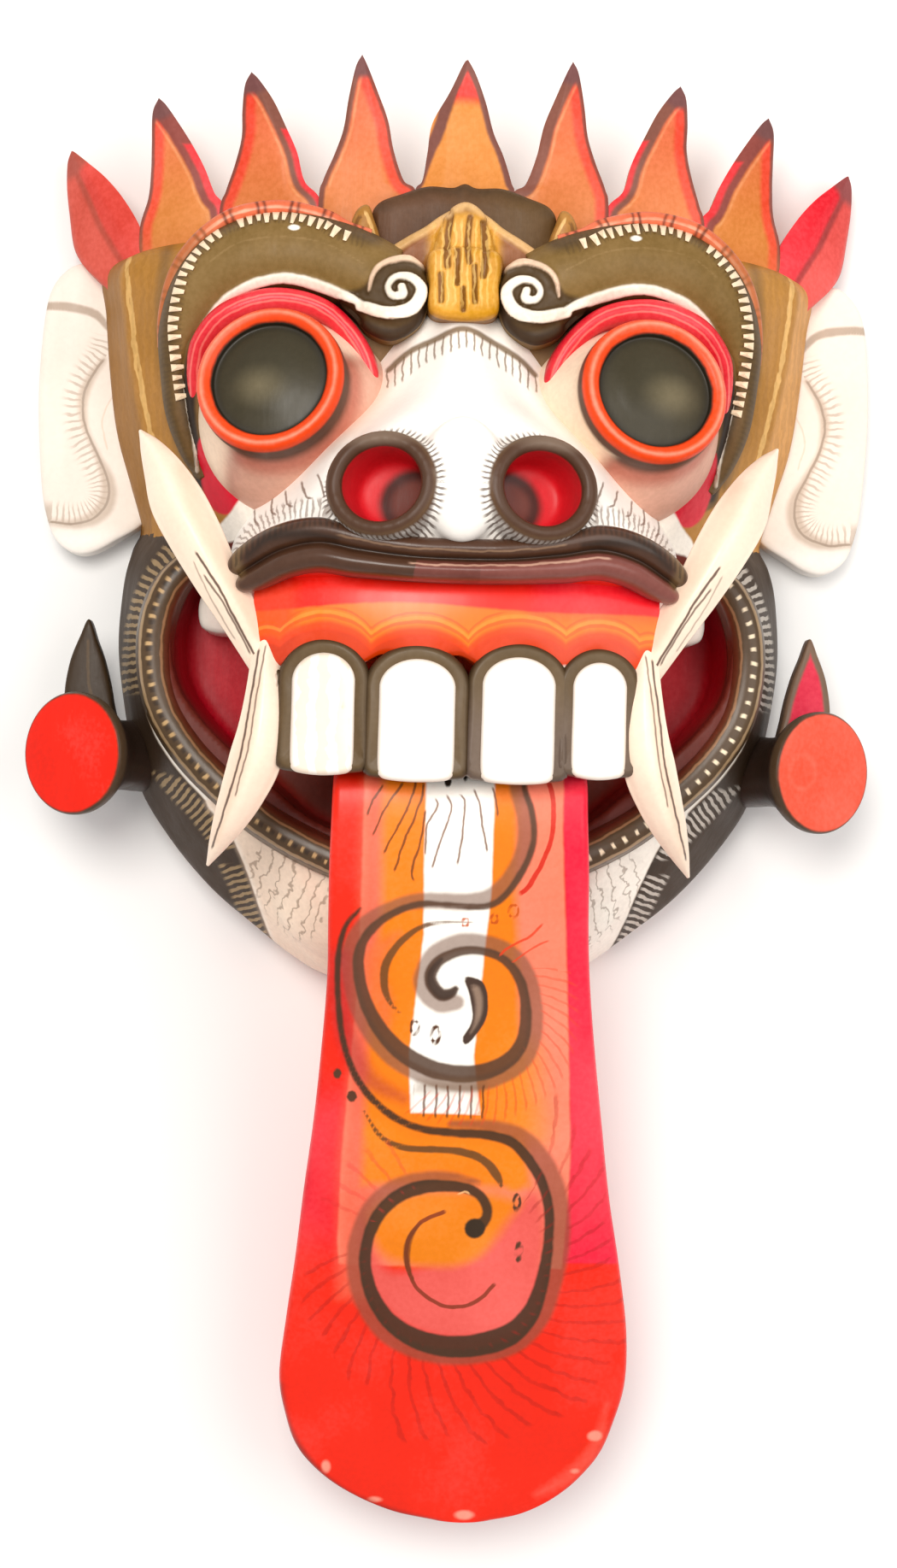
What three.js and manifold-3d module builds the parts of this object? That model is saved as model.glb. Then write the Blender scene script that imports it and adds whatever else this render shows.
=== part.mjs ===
// Barong mask with a long hanging tongue, lying on the rim of its hollow back.
// Millimetres. +Z comes out of the face, +Y runs to the crown, +X is to the right as seen.

import * as THREE from 'three';
import { mergeVertices } from 'three/addons/utils/BufferGeometryUtils.js';
import Module from 'manifold-3d';

const wasm = await Module();
wasm.setup();

// ---------------------------------------------------------------- driving dimensions
const GAP = 0.4;                 // clearance between pieces that touch
const CROWN_RADIUS = 300;        // the crown plate curves round the forehead
const CROWN_FRONT = 92;          // height of its front at the middle
const CROWN_THICKNESS = 15;
const MOUTH_FLOOR = 40;          // inside back wall of the mouth
const EYE_X = 87.5;
const EYE_Y = 180;
const EYE_Z = 150;
const EYE_RADIUS = 34;
const EYE_PUPIL_RADIUS = 26;
const EYE_OUT_TILT = 0.24;       // radians, away from the nose
const EYE_UP_TILT = 0.22;        // radians, toward the crown
const NOSTRIL_X = 34.8;
const NOSTRIL_Y = 129.5;
const NOSTRIL_Z = 181;
const GUM_HALF_WIDTH = 91;
const TOOTH_BOTTOM = 1.5;
const TOOTH_FRONT = 166;
const PLUG_X = 180;
const PLUG_Y = 10;
const PLUG_Z = 75;
const PLUG_RADIUS = 29;
const PLUG_LENGTH = 62;
const PLUG_OUT_TILT = 0.56;      // radians, away from the face
const TONGUE_THICKNESS = 14;

// ---------------------------------------------------------------- solids and booleans
function toSolid(geometry) {
  const bare = geometry.index ? geometry.toNonIndexed() : geometry.clone();
  bare.deleteAttribute('normal');
  bare.deleteAttribute('uv');
  const merged = mergeVertices(bare, 1e-3);
  const vertProperties = new Float32Array(merged.attributes.position.array);
  const triVerts = new Uint32Array(merged.index.array);
  const mesh = new wasm.Mesh({ numProp: 3, vertProperties, triVerts });
  return new wasm.Manifold(mesh);
}

function toGeometry(solid) {
  const mesh = solid.getMesh();
  const geometry = new THREE.BufferGeometry();
  geometry.setAttribute('position', new THREE.BufferAttribute(mesh.vertProperties, 3));
  geometry.setIndex(new THREE.BufferAttribute(mesh.triVerts, 1));
  return geometry;
}

function joinAll(geometries) {
  let solid = toSolid(geometries[0]);
  for (const geometry of geometries.slice(1)) {
    solid = solid.add(toSolid(geometry));
  }
  return solid;
}

function mirrorX(geometry) {
  const copy = geometry.toNonIndexed ? geometry.clone() : geometry;
  const flat = copy.index ? copy.toNonIndexed() : copy;
  const position = flat.attributes.position;
  for (let i = 0; i < position.count; i += 3) {
    const corners = [0, 2, 1].map((k) => new THREE.Vector3().fromBufferAttribute(position, i + k));
    corners.forEach((corner, k) => position.setXYZ(i + k, -corner.x, corner.y, corner.z));
  }
  return flat;
}

function both(geometry) {
  return [geometry, mirrorX(geometry)];
}

// ---------------------------------------------------------------- lofts
function newellNormal(ring) {
  const normal = new THREE.Vector3();
  ring.forEach((a, i) => {
    const b = ring[(i + 1) % ring.length];
    normal.x += (a.y - b.y) * (a.z + b.z);
    normal.y += (a.z - b.z) * (a.x + b.x);
    normal.z += (a.x - b.x) * (a.y + b.y);
  });
  return normal.normalize();
}

function capTriangles(ring) {
  const normal = newellNormal(ring);
  const helper = Math.abs(normal.z) < 0.9 ? new THREE.Vector3(0, 0, 1) : new THREE.Vector3(1, 0, 0);
  const u = new THREE.Vector3().crossVectors(helper, normal).normalize();
  const v = new THREE.Vector3().crossVectors(normal, u);
  const flat = ring.map((p) => new THREE.Vector2(p.dot(u), p.dot(v)));
  return THREE.ShapeUtils.triangulateShape(flat, []);
}

function loft(rings) {
  const count = rings[0].length;
  const triangles = [];
  const put = (a, b, c) => triangles.push(a, b, c);
  for (let r = 0; r + 1 < rings.length; r += 1) {
    for (let i = 0; i < count; i += 1) {
      const j = (i + 1) % count;
      put(rings[r][i], rings[r][j], rings[r + 1][j]);
      put(rings[r][i], rings[r + 1][j], rings[r + 1][i]);
    }
  }
  const first = rings[0];
  const last = rings[rings.length - 1];
  for (const [a, b, c] of capTriangles(first)) {
    put(first[c], first[b], first[a]);
  }
  for (const [a, b, c] of capTriangles(last)) {
    put(last[a], last[b], last[c]);
  }
  let volume = 0;
  for (let t = 0; t < triangles.length; t += 3) {
    const cross = new THREE.Vector3().crossVectors(triangles[t + 1], triangles[t + 2]);
    volume += triangles[t].dot(cross);
  }
  const ordered = [];
  for (let t = 0; t < triangles.length; t += 3) {
    const [a, b, c] = triangles.slice(t, t + 3);
    ordered.push(...(volume > 0 ? [a, b, c] : [a, c, b]));
  }
  return new THREE.BufferGeometry().setFromPoints(ordered);
}

// Right half of an outline, from the middle at the top to the middle at the bottom.
function fullOutline(half, grow = 0) {
  const right = half.map(([x, y]) => new THREE.Vector2(x, y));
  const inner = right.slice(1, -1).reverse();
  const left = inner.map((p) => new THREE.Vector2(-p.x, p.y));
  const outline = [...right, ...left];
  const centre = new THREE.Vector2(0, (right[0].y + right[right.length - 1].y) / 2);
  return outline.map((p) => {
    const away = p.clone().sub(centre).normalize();
    return p.clone().addScaledVector(away, grow);
  });
}

function layered(levels, grow = 0) {
  const rings = levels.map(([z, half]) => {
    const outline = fullOutline(half, grow);
    return outline.map((p) => new THREE.Vector3(p.x, p.y, z));
  });
  return loft(rings);
}

function prism(points, zLow, zHigh) {
  const shape = new THREE.Shape(points.map(([x, y]) => new THREE.Vector2(x, y)));
  const geometry = new THREE.ExtrudeGeometry(shape, { depth: zHigh - zLow, bevelEnabled: false });
  geometry.translate(0, 0, zLow);
  return geometry;
}

// A bar swept along points [x, y, z]; section gives its corners as [across, up].
function sweep(stations, steps, section) {
  const path = new THREE.CatmullRomCurve3(stations.map((s) => new THREE.Vector3(s[0], s[1], s[2])));
  const rings = [];
  for (let i = 0; i <= steps; i += 1) {
    const u = i / steps;
    const point = path.getPoint(u);
    const along = path.getTangent(u);
    const across = new THREE.Vector3(along.y, -along.x, 0).normalize();
    const up = new THREE.Vector3().crossVectors(across, along).normalize();
    if (up.z < 0) {
      up.negate();
    }
    const at = u * (stations.length - 1);
    const low = Math.min(Math.floor(at), stations.length - 2);
    const width = THREE.MathUtils.lerp(stations[low][3], stations[low + 1][3], at - low);
    rings.push(section(width, u).map(([a, b]) => {
      return point.clone().addScaledVector(across, a).addScaledVector(up, b);
    }));
  }
  return loft(rings);
}

function lathe(profile, segments) {
  const points = profile.map(([r, h]) => new THREE.Vector2(r, h));
  const geometry = new THREE.LatheGeometry(points, segments);
  geometry.rotateX(Math.PI / 2);
  return geometry;
}

function orient(geometry, outTilt, upTilt, x, y, z) {
  geometry.rotateX(-upTilt);
  geometry.rotateY(outTilt);
  geometry.translate(x, y, z);
  return geometry;
}

// ---------------------------------------------------------------- carved block
const SKULL = [
  [0, [[0, 262], [100, 262], [150, 258], [178, 250], [177, 225], [175, 198], [171, 170], [164, 146],
    [157, 122], [150, 100], [120, 90], [0, 90]]],
  [25, [[0, 262], [100, 262], [150, 258], [176, 252], [175, 230], [172, 198], [168, 171], [161, 147],
    [153, 121], [148, 100], [120, 90], [0, 90]]],
  [62, [[0, 262], [100, 262], [146, 256], [162, 244], [161, 220], [158, 200], [154, 181], [149, 160],
    [143, 135], [136, 112], [112, 92], [0, 90]]],
  [80, [[0, 258], [95, 258], [132, 248], [145, 232], [144, 215], [141, 198], [138, 178], [133, 158],
    [126, 138], [118, 118], [100, 95], [0, 90]]],
  [104, [[0, 248], [80, 250], [112, 242], [127, 226], [129, 208], [128, 190], [125, 174], [120, 158],
    [112, 142], [100, 124], [84, 104], [0, 94]]],
];

const JAW = [
  [0, [[0, 130], [138, 130], [157, 122], [163, 108], [166, 90], [167, 62], [162, 28], [155, -4],
    [139, -30], [118, -54], [96, -72], [75, -88], [57, -97], [25, -101], [0, -102]]],
  [28, [[0, 130], [136, 128], [153, 119], [160, 106], [163, 88], [164, 61], [159, 26], [152, -5],
    [136, -31], [115, -55], [93, -73], [73, -88], [55, -97], [25, -101], [0, -102]]],
  [50, [[0, 125], [130, 122], [146, 112], [152, 99], [155, 84], [156, 60], [152, 28], [143, 2],
    [128, -20], [108, -42], [88, -63], [69, -82], [53, -93], [25, -98], [0, -99]]],
  [70, [[0, 120], [118, 118], [128, 110], [139, 94], [145, 80], [149, 58], [145, 28], [134, 8],
    [116, -11], [98, -27], [82, -46], [66, -70], [48, -84], [25, -90], [0, -91]]],
  [80, [[0, 112], [108, 112], [122, 104], [133, 90], [139, 77], [142, 58], [138, 31], [127, 11],
    [109, -6], [90, -21], [75, -40], [60, -60], [42, -70], [23, -75], [0, -76]]],
];

const MOUTH_HALF = [[0, 104], [60, 104], [104, 101], [124, 94], [131, 82], [134, 66], [130, 44],
  [117, 26], [101, 11], [82, -5], [62, -20], [30, -30], [0, -33]];

const HOLLOW_RIM = [[0, 238], [90, 238], [136, 230], [154, 214], [154, 182], [147, 152], [140, 122],
  [145, 92], [146, 56], [138, 20], [122, -12], [98, -42], [68, -68], [34, -80], [0, -82]];

const HOLLOW_LEVELS = [
  [-5, HOLLOW_RIM],
  [0, HOLLOW_RIM],
  [25, [[0, 236], [88, 236], [132, 226], [148, 210], [147, 180], [140, 152], [132, 122],
    [136, 92], [137, 58], [130, 24], [112, -8], [90, -34], [62, -56], [30, -66], [0, -68]]],
];

const HOLLOW_BROW = [
  [20, [[0, 234], [86, 234], [130, 224], [147, 208], [145, 180], [138, 152], [126, 124], [100, 112],
    [0, 112]]],
  [60, [[0, 226], [84, 226], [122, 216], [136, 200], [134, 178], [126, 154], [114, 130], [90, 116],
    [0, 114]]],
  [86, [[0, 214], [70, 216], [98, 208], [110, 194], [108, 174], [101, 154], [88, 136], [66, 122],
    [0, 118]]],
];

const HOLLOW_SNOUT = [
  [80, [[0, 178], [34, 172], [52, 152], [56, 130], [48, 116], [0, 114]]],
  [136, [[0, 158], [24, 154], [40, 142], [44, 126], [36, 116], [0, 114]]],
];

function chin() {
  const geometry = new THREE.SphereGeometry(1, 12, 7);
  geometry.scale(84, 44, 40);
  geometry.translate(0, -55, 52);
  return geometry;
}

function lowerLip() {
  const half = [[112, 108, 78, 6], [128, 99, 80, 7], [138, 84, 80, 8], [142, 62, 79, 8],
    [138, 36, 79, 8], [125, 14, 80, 8], [106, -5, 82, 8], [84, -22, 85, 8], [56, -36, 89, 8],
    [28, -44, 92, 8]];
  const left = half.slice().reverse().map(([x, y, z, w]) => [-x, y, z, w]);
  const section = (w) => [[-w, -9], [w, -9], [w, 1], [w * 0.45, 5], [-w * 0.45, 5], [-w, 1]];
  return sweep([...half, [0, -46, 93, 8], ...left], 22, section);
}

// Stepped molars at each corner of the mouth.
function molars() {
  const steps = [[101, 98, 90, 84], [108, 92, 80, 78], [116, 88, 71, 72]];
  return steps.map(([x, top, bottom, z]) => {
    const outline = [[x - 12, top], [x + 4, top], [x + 4, bottom], [x - 12, bottom]];
    return prism(outline, MOUTH_FLOOR - 6, z);
  });
}

// ---------------------------------------------------------------- brow and eyes
function browRoll() {
  const stations = [[34, 230, 112, 17], [50, 236, 112, 19], [68, 242, 110, 20], [88, 243, 108, 20],
    [107, 238, 104, 19], [121, 226, 98, 16], [130, 209, 92, 12], [132, 190, 88, 9], [130, 171, 86, 8],
    [125, 154, 84, 6], [119, 141, 84, 3]];
  const section = (w) => {
    const h = 8 + w * 0.52;
    return [[-w, -22], [w, -22], [w, 2], [w * 0.72, h * 0.72], [w * 0.1, h], [-w * 0.6, h * 0.8],
      [-w, 3]];
  };
  return sweep(stations, 12, section);
}

// Scroll at the inner end of each brow, beside the nose bridge.
function browScroll() {
  const geometry = lathe([[0, -16], [16, -16], [16, 0], [12, 4], [8, 1], [5, 4], [0, 6]], 10);
  return orient(geometry, 0, 0.15, 32, 226, 124);
}

function eyeball() {
  const profile = [[0, -60], [47, -60], [44, -38], [EYE_RADIUS, -16], [EYE_RADIUS, -3],
    [31, 0], [28, -0.5], [EYE_PUPIL_RADIUS, -4], [14, -1], [0, 0]];
  return orient(lathe(profile, 18), EYE_OUT_TILT, EYE_UP_TILT, EYE_X, EYE_Y, EYE_Z);
}

function eyeLid() {
  const stations = [[123, 190, 100, 4], [121, 203, 108, 6], [108, 216, 114, 7], [87, 222, 118, 7],
    [64, 218, 119, 7], [49, 204, 119, 7], [41, 187, 118, 6], [45, 170, 117, 4]];
  const section = (w) => [[-w, -16], [w, -16], [w, 1], [0, 6], [-w, 1]];
  return sweep(stations, 11, section);
}

// ---------------------------------------------------------------- snout
const SNOUT_RINGS = [
  // y, crest height, top half width, side height, side half width, foot half width
  [218, 118, 9, 110, 16, 30],
  [196, 132, 13, 118, 27, 44],
  [176, 150, 18, 128, 38, 56],
  [160, 168, 30, 138, 52, 68],
  [146, 180, 42, 150, 60, 82],
  [128, 186, 50, 152, 70, 96],
  [110, 180, 60, 150, 84, 104],
  [96, 170, 74, 146, 92, 104],
  [86, 164, 76, 146, 91, 98],
];

function snout() {
  const rings = SNOUT_RINGS.map(([y, z, w, sideZ, sideW, foot]) => {
    const right = [[0, z], [w * 0.5, z - 1], [w, z - 6], [sideW, sideZ], [foot, 96], [foot, 38]];
    const left = right.slice(1).reverse().map(([x, h]) => [-x, h]);
    return [...right, ...left].map(([x, h]) => new THREE.Vector3(x, y, h));
  });
  return loft(rings);
}

function noseBall() {
  const geometry = new THREE.SphereGeometry(1, 10, 6);
  geometry.scale(20, 27, 16);
  geometry.translate(0, 132, 180);
  return geometry;
}

function nostrilRim() {
  const profile = [[16.5, -16], [25, -16], [25, 1], [22.5, 5], [19.5, 5], [16.5, 1], [16.5, -16]];
  const geometry = lathe(profile, 14);
  geometry.scale(1, 0.93, 1);
  return orient(geometry, 0.28, 0.12, NOSTRIL_X, NOSTRIL_Y, NOSTRIL_Z);
}

function nostrilBore() {
  const geometry = lathe([[0, -24], [15, -24], [16.6, 20], [0, 20]], 14);
  geometry.scale(1, 0.93, 1);
  return orient(geometry, 0.28, 0.12, NOSTRIL_X, NOSTRIL_Y, NOSTRIL_Z);
}

// The upper lip is a double roll with a groove between its halves.
function upperLip() {
  const half = [[0, 98, 172, 9], [22, 98.5, 172, 9], [44, 101, 170, 10], [62, 104, 166, 11],
    [78, 101, 160, 11], [92, 94, 151, 10], [100, 89, 143, 6]];
  const left = half.slice(1).reverse().map(([x, y, z, w]) => [-x, y, z, w]);
  const section = (w) => [[-w, -22], [w, -22], [w, 1], [w * 0.6, 6.5], [0, 2.5], [-w * 0.6, 6.5],
    [-w, 1]];
  return sweep([...left, ...half], 18, section);
}

// ---------------------------------------------------------------- gum and teeth
function gumFront(x) {
  return TOOTH_FRONT - 0.0022 * x * x;
}

function gum() {
  const count = 12;
  const rings = [];
  for (let i = 0; i <= count; i += 1) {
    const x = -GUM_HALF_WIDTH + (2 * GUM_HALF_WIDTH * i) / count;
    const z = gumFront(x);
    const low = 54 + 3 * Math.cos((x / 31) * Math.PI * 2);
    const corners = [[92, 38], [92, z], [76, z + 1.5], [low, z - 2], [low + 2, 38]];
    rings.push(corners.map(([y, h]) => new THREE.Vector3(x, y, h)));
  }
  return loft(rings);
}

// x of the left and right edge, top of the crown of the tooth, and height of its bottom edge
const TEETH = [
  [-73, -44.5, 57, 3],
  [-34, 0, 55, 1],
  [11.5, 44.5, 57, 1],
  [52, 77, 56, 4],
];

function roundedTooth(left, right, top, bottom) {
  const shape = new THREE.Shape();
  const radius = (right - left) / 2;
  shape.moveTo(left, bottom);
  shape.lineTo(right, bottom);
  shape.lineTo(right, top - radius * 0.8);
  shape.absellipse((left + right) / 2, top - radius * 0.8, radius, radius * 0.8, 0, Math.PI, false);
  shape.closePath();
  return shape;
}

function bentTooth([left, right, top, bottom], margin, back, front) {
  const shape = roundedTooth(left - margin, right + margin, top + margin, bottom);
  const options = { depth: 1, bevelEnabled: false, curveSegments: 3 };
  const geometry = new THREE.ExtrudeGeometry(shape, options);
  const position = geometry.attributes.position;
  for (let i = 0; i < position.count; i += 1) {
    const x = position.getX(i);
    const y = position.getY(i);
    const lean = (top - y) * 0.02;
    const z = gumFront(x) - lean + (position.getZ(i) > 0.5 ? front : back);
    position.setZ(i, z);
  }
  return geometry;
}

function teeth() {
  const pieces = [];
  for (const tooth of TEETH) {
    pieces.push(bentTooth(tooth, 0, -16, 1));
    pieces.push(bentTooth(tooth, 6.5, -14, -1.5));
  }
  const sides = [[-90, -79, 50, 9], [83, 91, 50, 10]];
  for (const side of sides) {
    pieces.push(bentTooth(side, 2, -14, -3));
  }
  return pieces;
}

// ---------------------------------------------------------------- crown
// Outlines of the flames on the right, from the left foot up to the tip and down to the right foot.
const FLAMES = [
  [[-24, 232], [-24, 276], [-20, 285], [-18, 298], [-16, 312], [-8, 327], [-2, 340], [0, 342], [4, 335],
    [9, 322], [13, 308], [18, 297], [22, 285], [24, 276], [24, 232]],
  [[22, 232], [22, 276], [29, 285], [34, 299], [37, 313], [42, 326], [47, 338], [50, 344], [53, 338],
    [56, 323], [58, 309], [62, 297], [67, 285], [69, 275], [69, 232]],
  [[66, 232], [67, 272], [76, 285], [80, 299], [86, 312], [92, 324], [99, 334], [103, 338], [106, 332],
    [107, 320], [107, 307], [110, 294], [114, 282], [117, 271], [117, 232]],
  [[112, 232], [114, 271], [120, 282], [125, 294], [131, 305], [138, 316], [145, 326], [149, 330],
    [152, 323], [152, 308], [152, 295], [153, 282], [157, 268], [157, 230], [135, 226]],
  [[140, 228], [153, 254], [157, 268], [166, 283], [176, 295], [186, 304], [195, 311], [197, 305],
    [197, 293], [195, 278], [192, 262], [186, 252], [174, 240], [165, 226]],
];

function bendOntoCrown(geometry) {
  const position = geometry.attributes.position;
  for (let i = 0; i < position.count; i += 1) {
    const x = position.getX(i);
    const depth = position.getZ(i);
    const rise = Math.sqrt(CROWN_RADIUS * CROWN_RADIUS - x * x);
    const front = CROWN_FRONT - CROWN_RADIUS + rise;
    position.setX(i, x + (depth * x) / CROWN_RADIUS);
    position.setZ(i, front + (depth * rise) / CROWN_RADIUS);
  }
  return geometry;
}

function flame(outline) {
  return bendOntoCrown(prism(outline, -CROWN_THICKNESS, 0));
}

function cap() {
  const outline = [[0, 238], [36, 242], [43, 262], [41, 271], [30, 276], [18, 280], [6, 280], [0, 282],
    [-6, 280], [-18, 280], [-30, 276], [-41, 271], [-43, 262], [-36, 242]];
  return prism(outline, 72, 101);
}

function crest() {
  const apex = [[0, 268], [-10, 263], [-18, 257], [-28, 251], [-38, 243], [-24, 238], [24, 238],
    [38, 243], [28, 251], [18, 257], [10, 263]];
  const block = [[-15, 244], [-16, 228], [-15, 215], [0, 212], [15, 215], [16, 228], [15, 244]];
  return [prism(apex, 80, 117), prism(block, 90, 132)];
}

function horn() {
  const outline = [[38, 240], [39, 252], [42, 261], [45, 268], [50, 266], [53, 258], [53, 248],
    [50, 240]];
  return prism(outline, 84, 112);
}

// ---------------------------------------------------------------- the carved face
function faceSolid() {
  let block = joinAll([layered(SKULL), layered(JAW), chin()]);
  const mouthLevels = [[MOUTH_FLOOR, MOUTH_HALF.map(([x, y]) => [x * 0.96, y])], [72, MOUTH_HALF],
    [220, MOUTH_HALF]];
  block = block.subtract(toSolid(layered(mouthLevels)));
  const added = [lowerLip(), snout(), noseBall(), upperLip(), gum(), cap()];
  added.push(...crest(), ...teeth());
  const mirrored = [browRoll(), browScroll(), eyeball(), eyeLid(), nostrilRim(), horn()];
  mirrored.push(...molars(), ...FLAMES.slice(1).map(flame));
  for (const piece of mirrored) {
    added.push(...both(piece));
  }
  added.push(flame(FLAMES[0]));
  block = block.add(joinAll(added));
  const hollows = [layered(HOLLOW_LEVELS), layered(HOLLOW_BROW), layered(HOLLOW_SNOUT)];
  block = block.subtract(joinAll(hollows));
  block = block.subtract(joinAll(both(nostrilBore())));
  return block;
}

// ---------------------------------------------------------------- tusks
function tusk(stations, steps) {
  const section = (w) => [[-w, -1], [0, -w * 0.7], [w, -1], [w * 0.55, w * 0.45], [0, w * 0.78],
    [-w * 0.55, w * 0.45]];
  return sweep(stations, steps, section);
}

function upperTusk() {
  return tusk([[86, 52, 142, 7], [97, 72, 148, 9], [108, 90, 150, 10.5], [118, 108, 149, 12],
    [127, 124, 145, 12], [134, 138, 138, 9], [141, 150, 130, 5], [146.5, 158, 122, 0.8]], 11);
}

function lowerTusk() {
  return tusk([[85, 62, 146, 6], [85, 42, 150, 8], [86, 24, 151, 10], [88.5, 9, 149, 11.5],
    [94, -6, 145, 10], [100, -19, 139, 7.5], [106, -31, 131, 4], [110.5, -40, 122, 0.8]], 11);
}

// ---------------------------------------------------------------- ears and ear plugs
function ear() {
  const outline = [[160, 252], [186, 255], [197, 250], [204, 238], [207, 215], [208, 185], [206, 150],
    [203, 130], [197, 116], [185, 110], [170, 116], [150, 134], [150, 240]];
  return prism(outline, 6, 20);
}

function earPlug() {
  const r = PLUG_RADIUS;
  const profile = [[0, -PLUG_LENGTH], [17, -PLUG_LENGTH], [17, -34], [21, -20], [r, -6],
    [r, -1.5], [r - 2, 0], [0, 0]];
  return orient(lathe(profile, 20), PLUG_OUT_TILT, 0, PLUG_X, PLUG_Y, PLUG_Z);
}

function plugLeaf() {
  const outline = [[163, 16], [184, 16], [188, 36], [186, 54], [177, 76], [169, 56], [165, 38]];
  return prism(outline, 34, 46);
}

// ---------------------------------------------------------------- tongue
// centre x, y, height of the upper face, half width
const TONGUE = [
  [4, 44, 46, 40],
  [4, 38, 70, 46],
  [4, 30, 94, 52],
  [4, 18, 122, 56],
  [4, 4, 140, 57.5],
  [4, -14, 144, 58],
  [4.5, -40, 140, 59],
  [5, -66, 133, 59.5],
  [6, -92, 125, 60.5],
  [7, -125, 116, 63.5],
  [8, -160, 106, 67.5],
  [8.5, -194, 97, 72],
  [10, -228, 88, 77],
  [10.5, -260, 80, 81.5],
  [9.5, -286, 74, 83],
  [9, -306, 70, 79],
  [9, -322, 67, 73],
  [10, -335, 65, 62],
  [12, -345, 63.5, 48],
  [14, -352, 62.5, 32],
  [15.5, -356, 62, 13],
];

function tongue() {
  const path = TONGUE.map(([x, y, z]) => new THREE.Vector3(x, y, z));
  const rings = TONGUE.map(([, , , half], i) => {
    const before = path[Math.max(i - 1, 0)];
    const after = path[Math.min(i + 1, path.length - 1)];
    const along = after.clone().sub(before).setX(0).normalize();
    const up = new THREE.Vector3(0, -along.z, along.y);
    if (up.z < 0) {
      up.negate();
    }
    const t = TONGUE_THICKNESS;
    const corners = [[-1, -3], [-0.96, -t], [-0.5, -t - 1], [0, -t - 1], [0.5, -t - 1], [0.96, -t],
      [1, -3], [0.94, 0], [0.6, 1.8], [0, 2.6], [-0.6, 1.8], [-0.94, 0]];
    return corners.map(([a, b]) => {
      return path[i].clone().add(new THREE.Vector3(a * half, 0, 0)).addScaledVector(up, b);
    });
  });
  return loft(rings);
}

// ---------------------------------------------------------------- scene graph
function material(colour, roughness) {
  return new THREE.MeshStandardMaterial({ color: colour, roughness, metalness: 0 });
}

const PAINT = {
  face: material(0xe9e2d3, 0.55),
  tongue: material(0xd8321c, 0.5),
  tusk: material(0xefdfc6, 0.45),
  ear: material(0xe8dfcf, 0.6),
  plug: material(0x2a2320, 0.5),
};

function addMesh(group, name, solid, paint) {
  const mesh = new THREE.Mesh(toGeometry(solid), paint);
  mesh.name = name;
  group.add(mesh);
}

const carved = faceSolid();
const jawGrown = toSolid(layered(JAW, GAP));
const skullGrown = toSolid(layered(SKULL, GAP));
const lastFlame = joinAll(both(flame(FLAMES[4])));
const flameGrown = lastFlame.add(lastFlame.translate([0, -GAP, 0]));

// A piece let into the gum: the face, shifted a little to four sides, is taken out of it.
function clearOfFace(solid) {
  const sides = [[0, 0, 0], [1, 1, 1], [1, -1, -1], [-1, 1, -1], [-1, -1, 1]];
  const shifts = sides.map((side) => side.map((step) => step * GAP));
  return largestPart(shifts.reduce((cut, shift) => cut.subtract(carved.translate(shift)), solid));
}

function largestPart(solid) {
  const parts = solid.decompose();
  return parts.reduce((best, part) => (part.volume() > best.volume() ? part : best));
}

const design = new THREE.Group();
addMesh(design, 'face', carved, PAINT.face);
addMesh(design, 'tongue', toSolid(tongue()), PAINT.tongue);

for (const [side, turn] of [['right', (g) => g], ['left', mirrorX]]) {
  const high = clearOfFace(toSolid(turn(upperTusk())));
  addMesh(design, `tusk_upper_${side}`, high, PAINT.tusk);
  const below = toSolid(turn(upperTusk())).translate([0, -GAP, 0]);
  const low = toSolid(turn(lowerTusk())).subtract(below).subtract(high);
  addMesh(design, `tusk_lower_${side}`, clearOfFace(low), PAINT.tusk);
  const earCut = toSolid(turn(ear())).subtract(skullGrown).subtract(jawGrown).subtract(flameGrown);
  addMesh(design, `ear_${side}`, largestPart(earCut), PAINT.ear);
  const plug = toSolid(turn(earPlug())).add(toSolid(turn(plugLeaf())));
  addMesh(design, `ear_plug_${side}`, largestPart(plug.subtract(jawGrown)), PAINT.plug);
}

// The origin is the middle of the underside of the whole mask.
const box = new THREE.Box3().setFromObject(design);
const middle = box.getCenter(new THREE.Vector3());
design.position.set(-middle.x, -middle.y, -box.min.z);

const mask = new THREE.Group();
mask.add(design);

export default mask;
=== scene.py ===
import math
import bpy
import bmesh
import numpy as np
from mathutils import Matrix, Vector
from mathutils.bvhtree import BVHTree


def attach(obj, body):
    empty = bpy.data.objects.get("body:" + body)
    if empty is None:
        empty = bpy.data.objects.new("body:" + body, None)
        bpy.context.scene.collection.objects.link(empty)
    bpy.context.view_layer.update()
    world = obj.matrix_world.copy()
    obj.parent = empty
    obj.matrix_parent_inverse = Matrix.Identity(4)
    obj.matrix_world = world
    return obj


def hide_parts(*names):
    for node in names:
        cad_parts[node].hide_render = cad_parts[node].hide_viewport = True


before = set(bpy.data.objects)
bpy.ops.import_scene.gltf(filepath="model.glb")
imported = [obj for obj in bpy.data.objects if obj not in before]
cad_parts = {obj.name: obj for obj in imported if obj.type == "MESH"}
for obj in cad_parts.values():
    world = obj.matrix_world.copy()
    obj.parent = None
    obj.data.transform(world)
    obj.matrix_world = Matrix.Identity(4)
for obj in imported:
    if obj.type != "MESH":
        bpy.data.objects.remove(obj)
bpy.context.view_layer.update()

MM = 0.001
MOUTH_LINE = 6.16      # the mouth line lies this far above the middle of the mask, mm
FINE = 2


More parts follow.
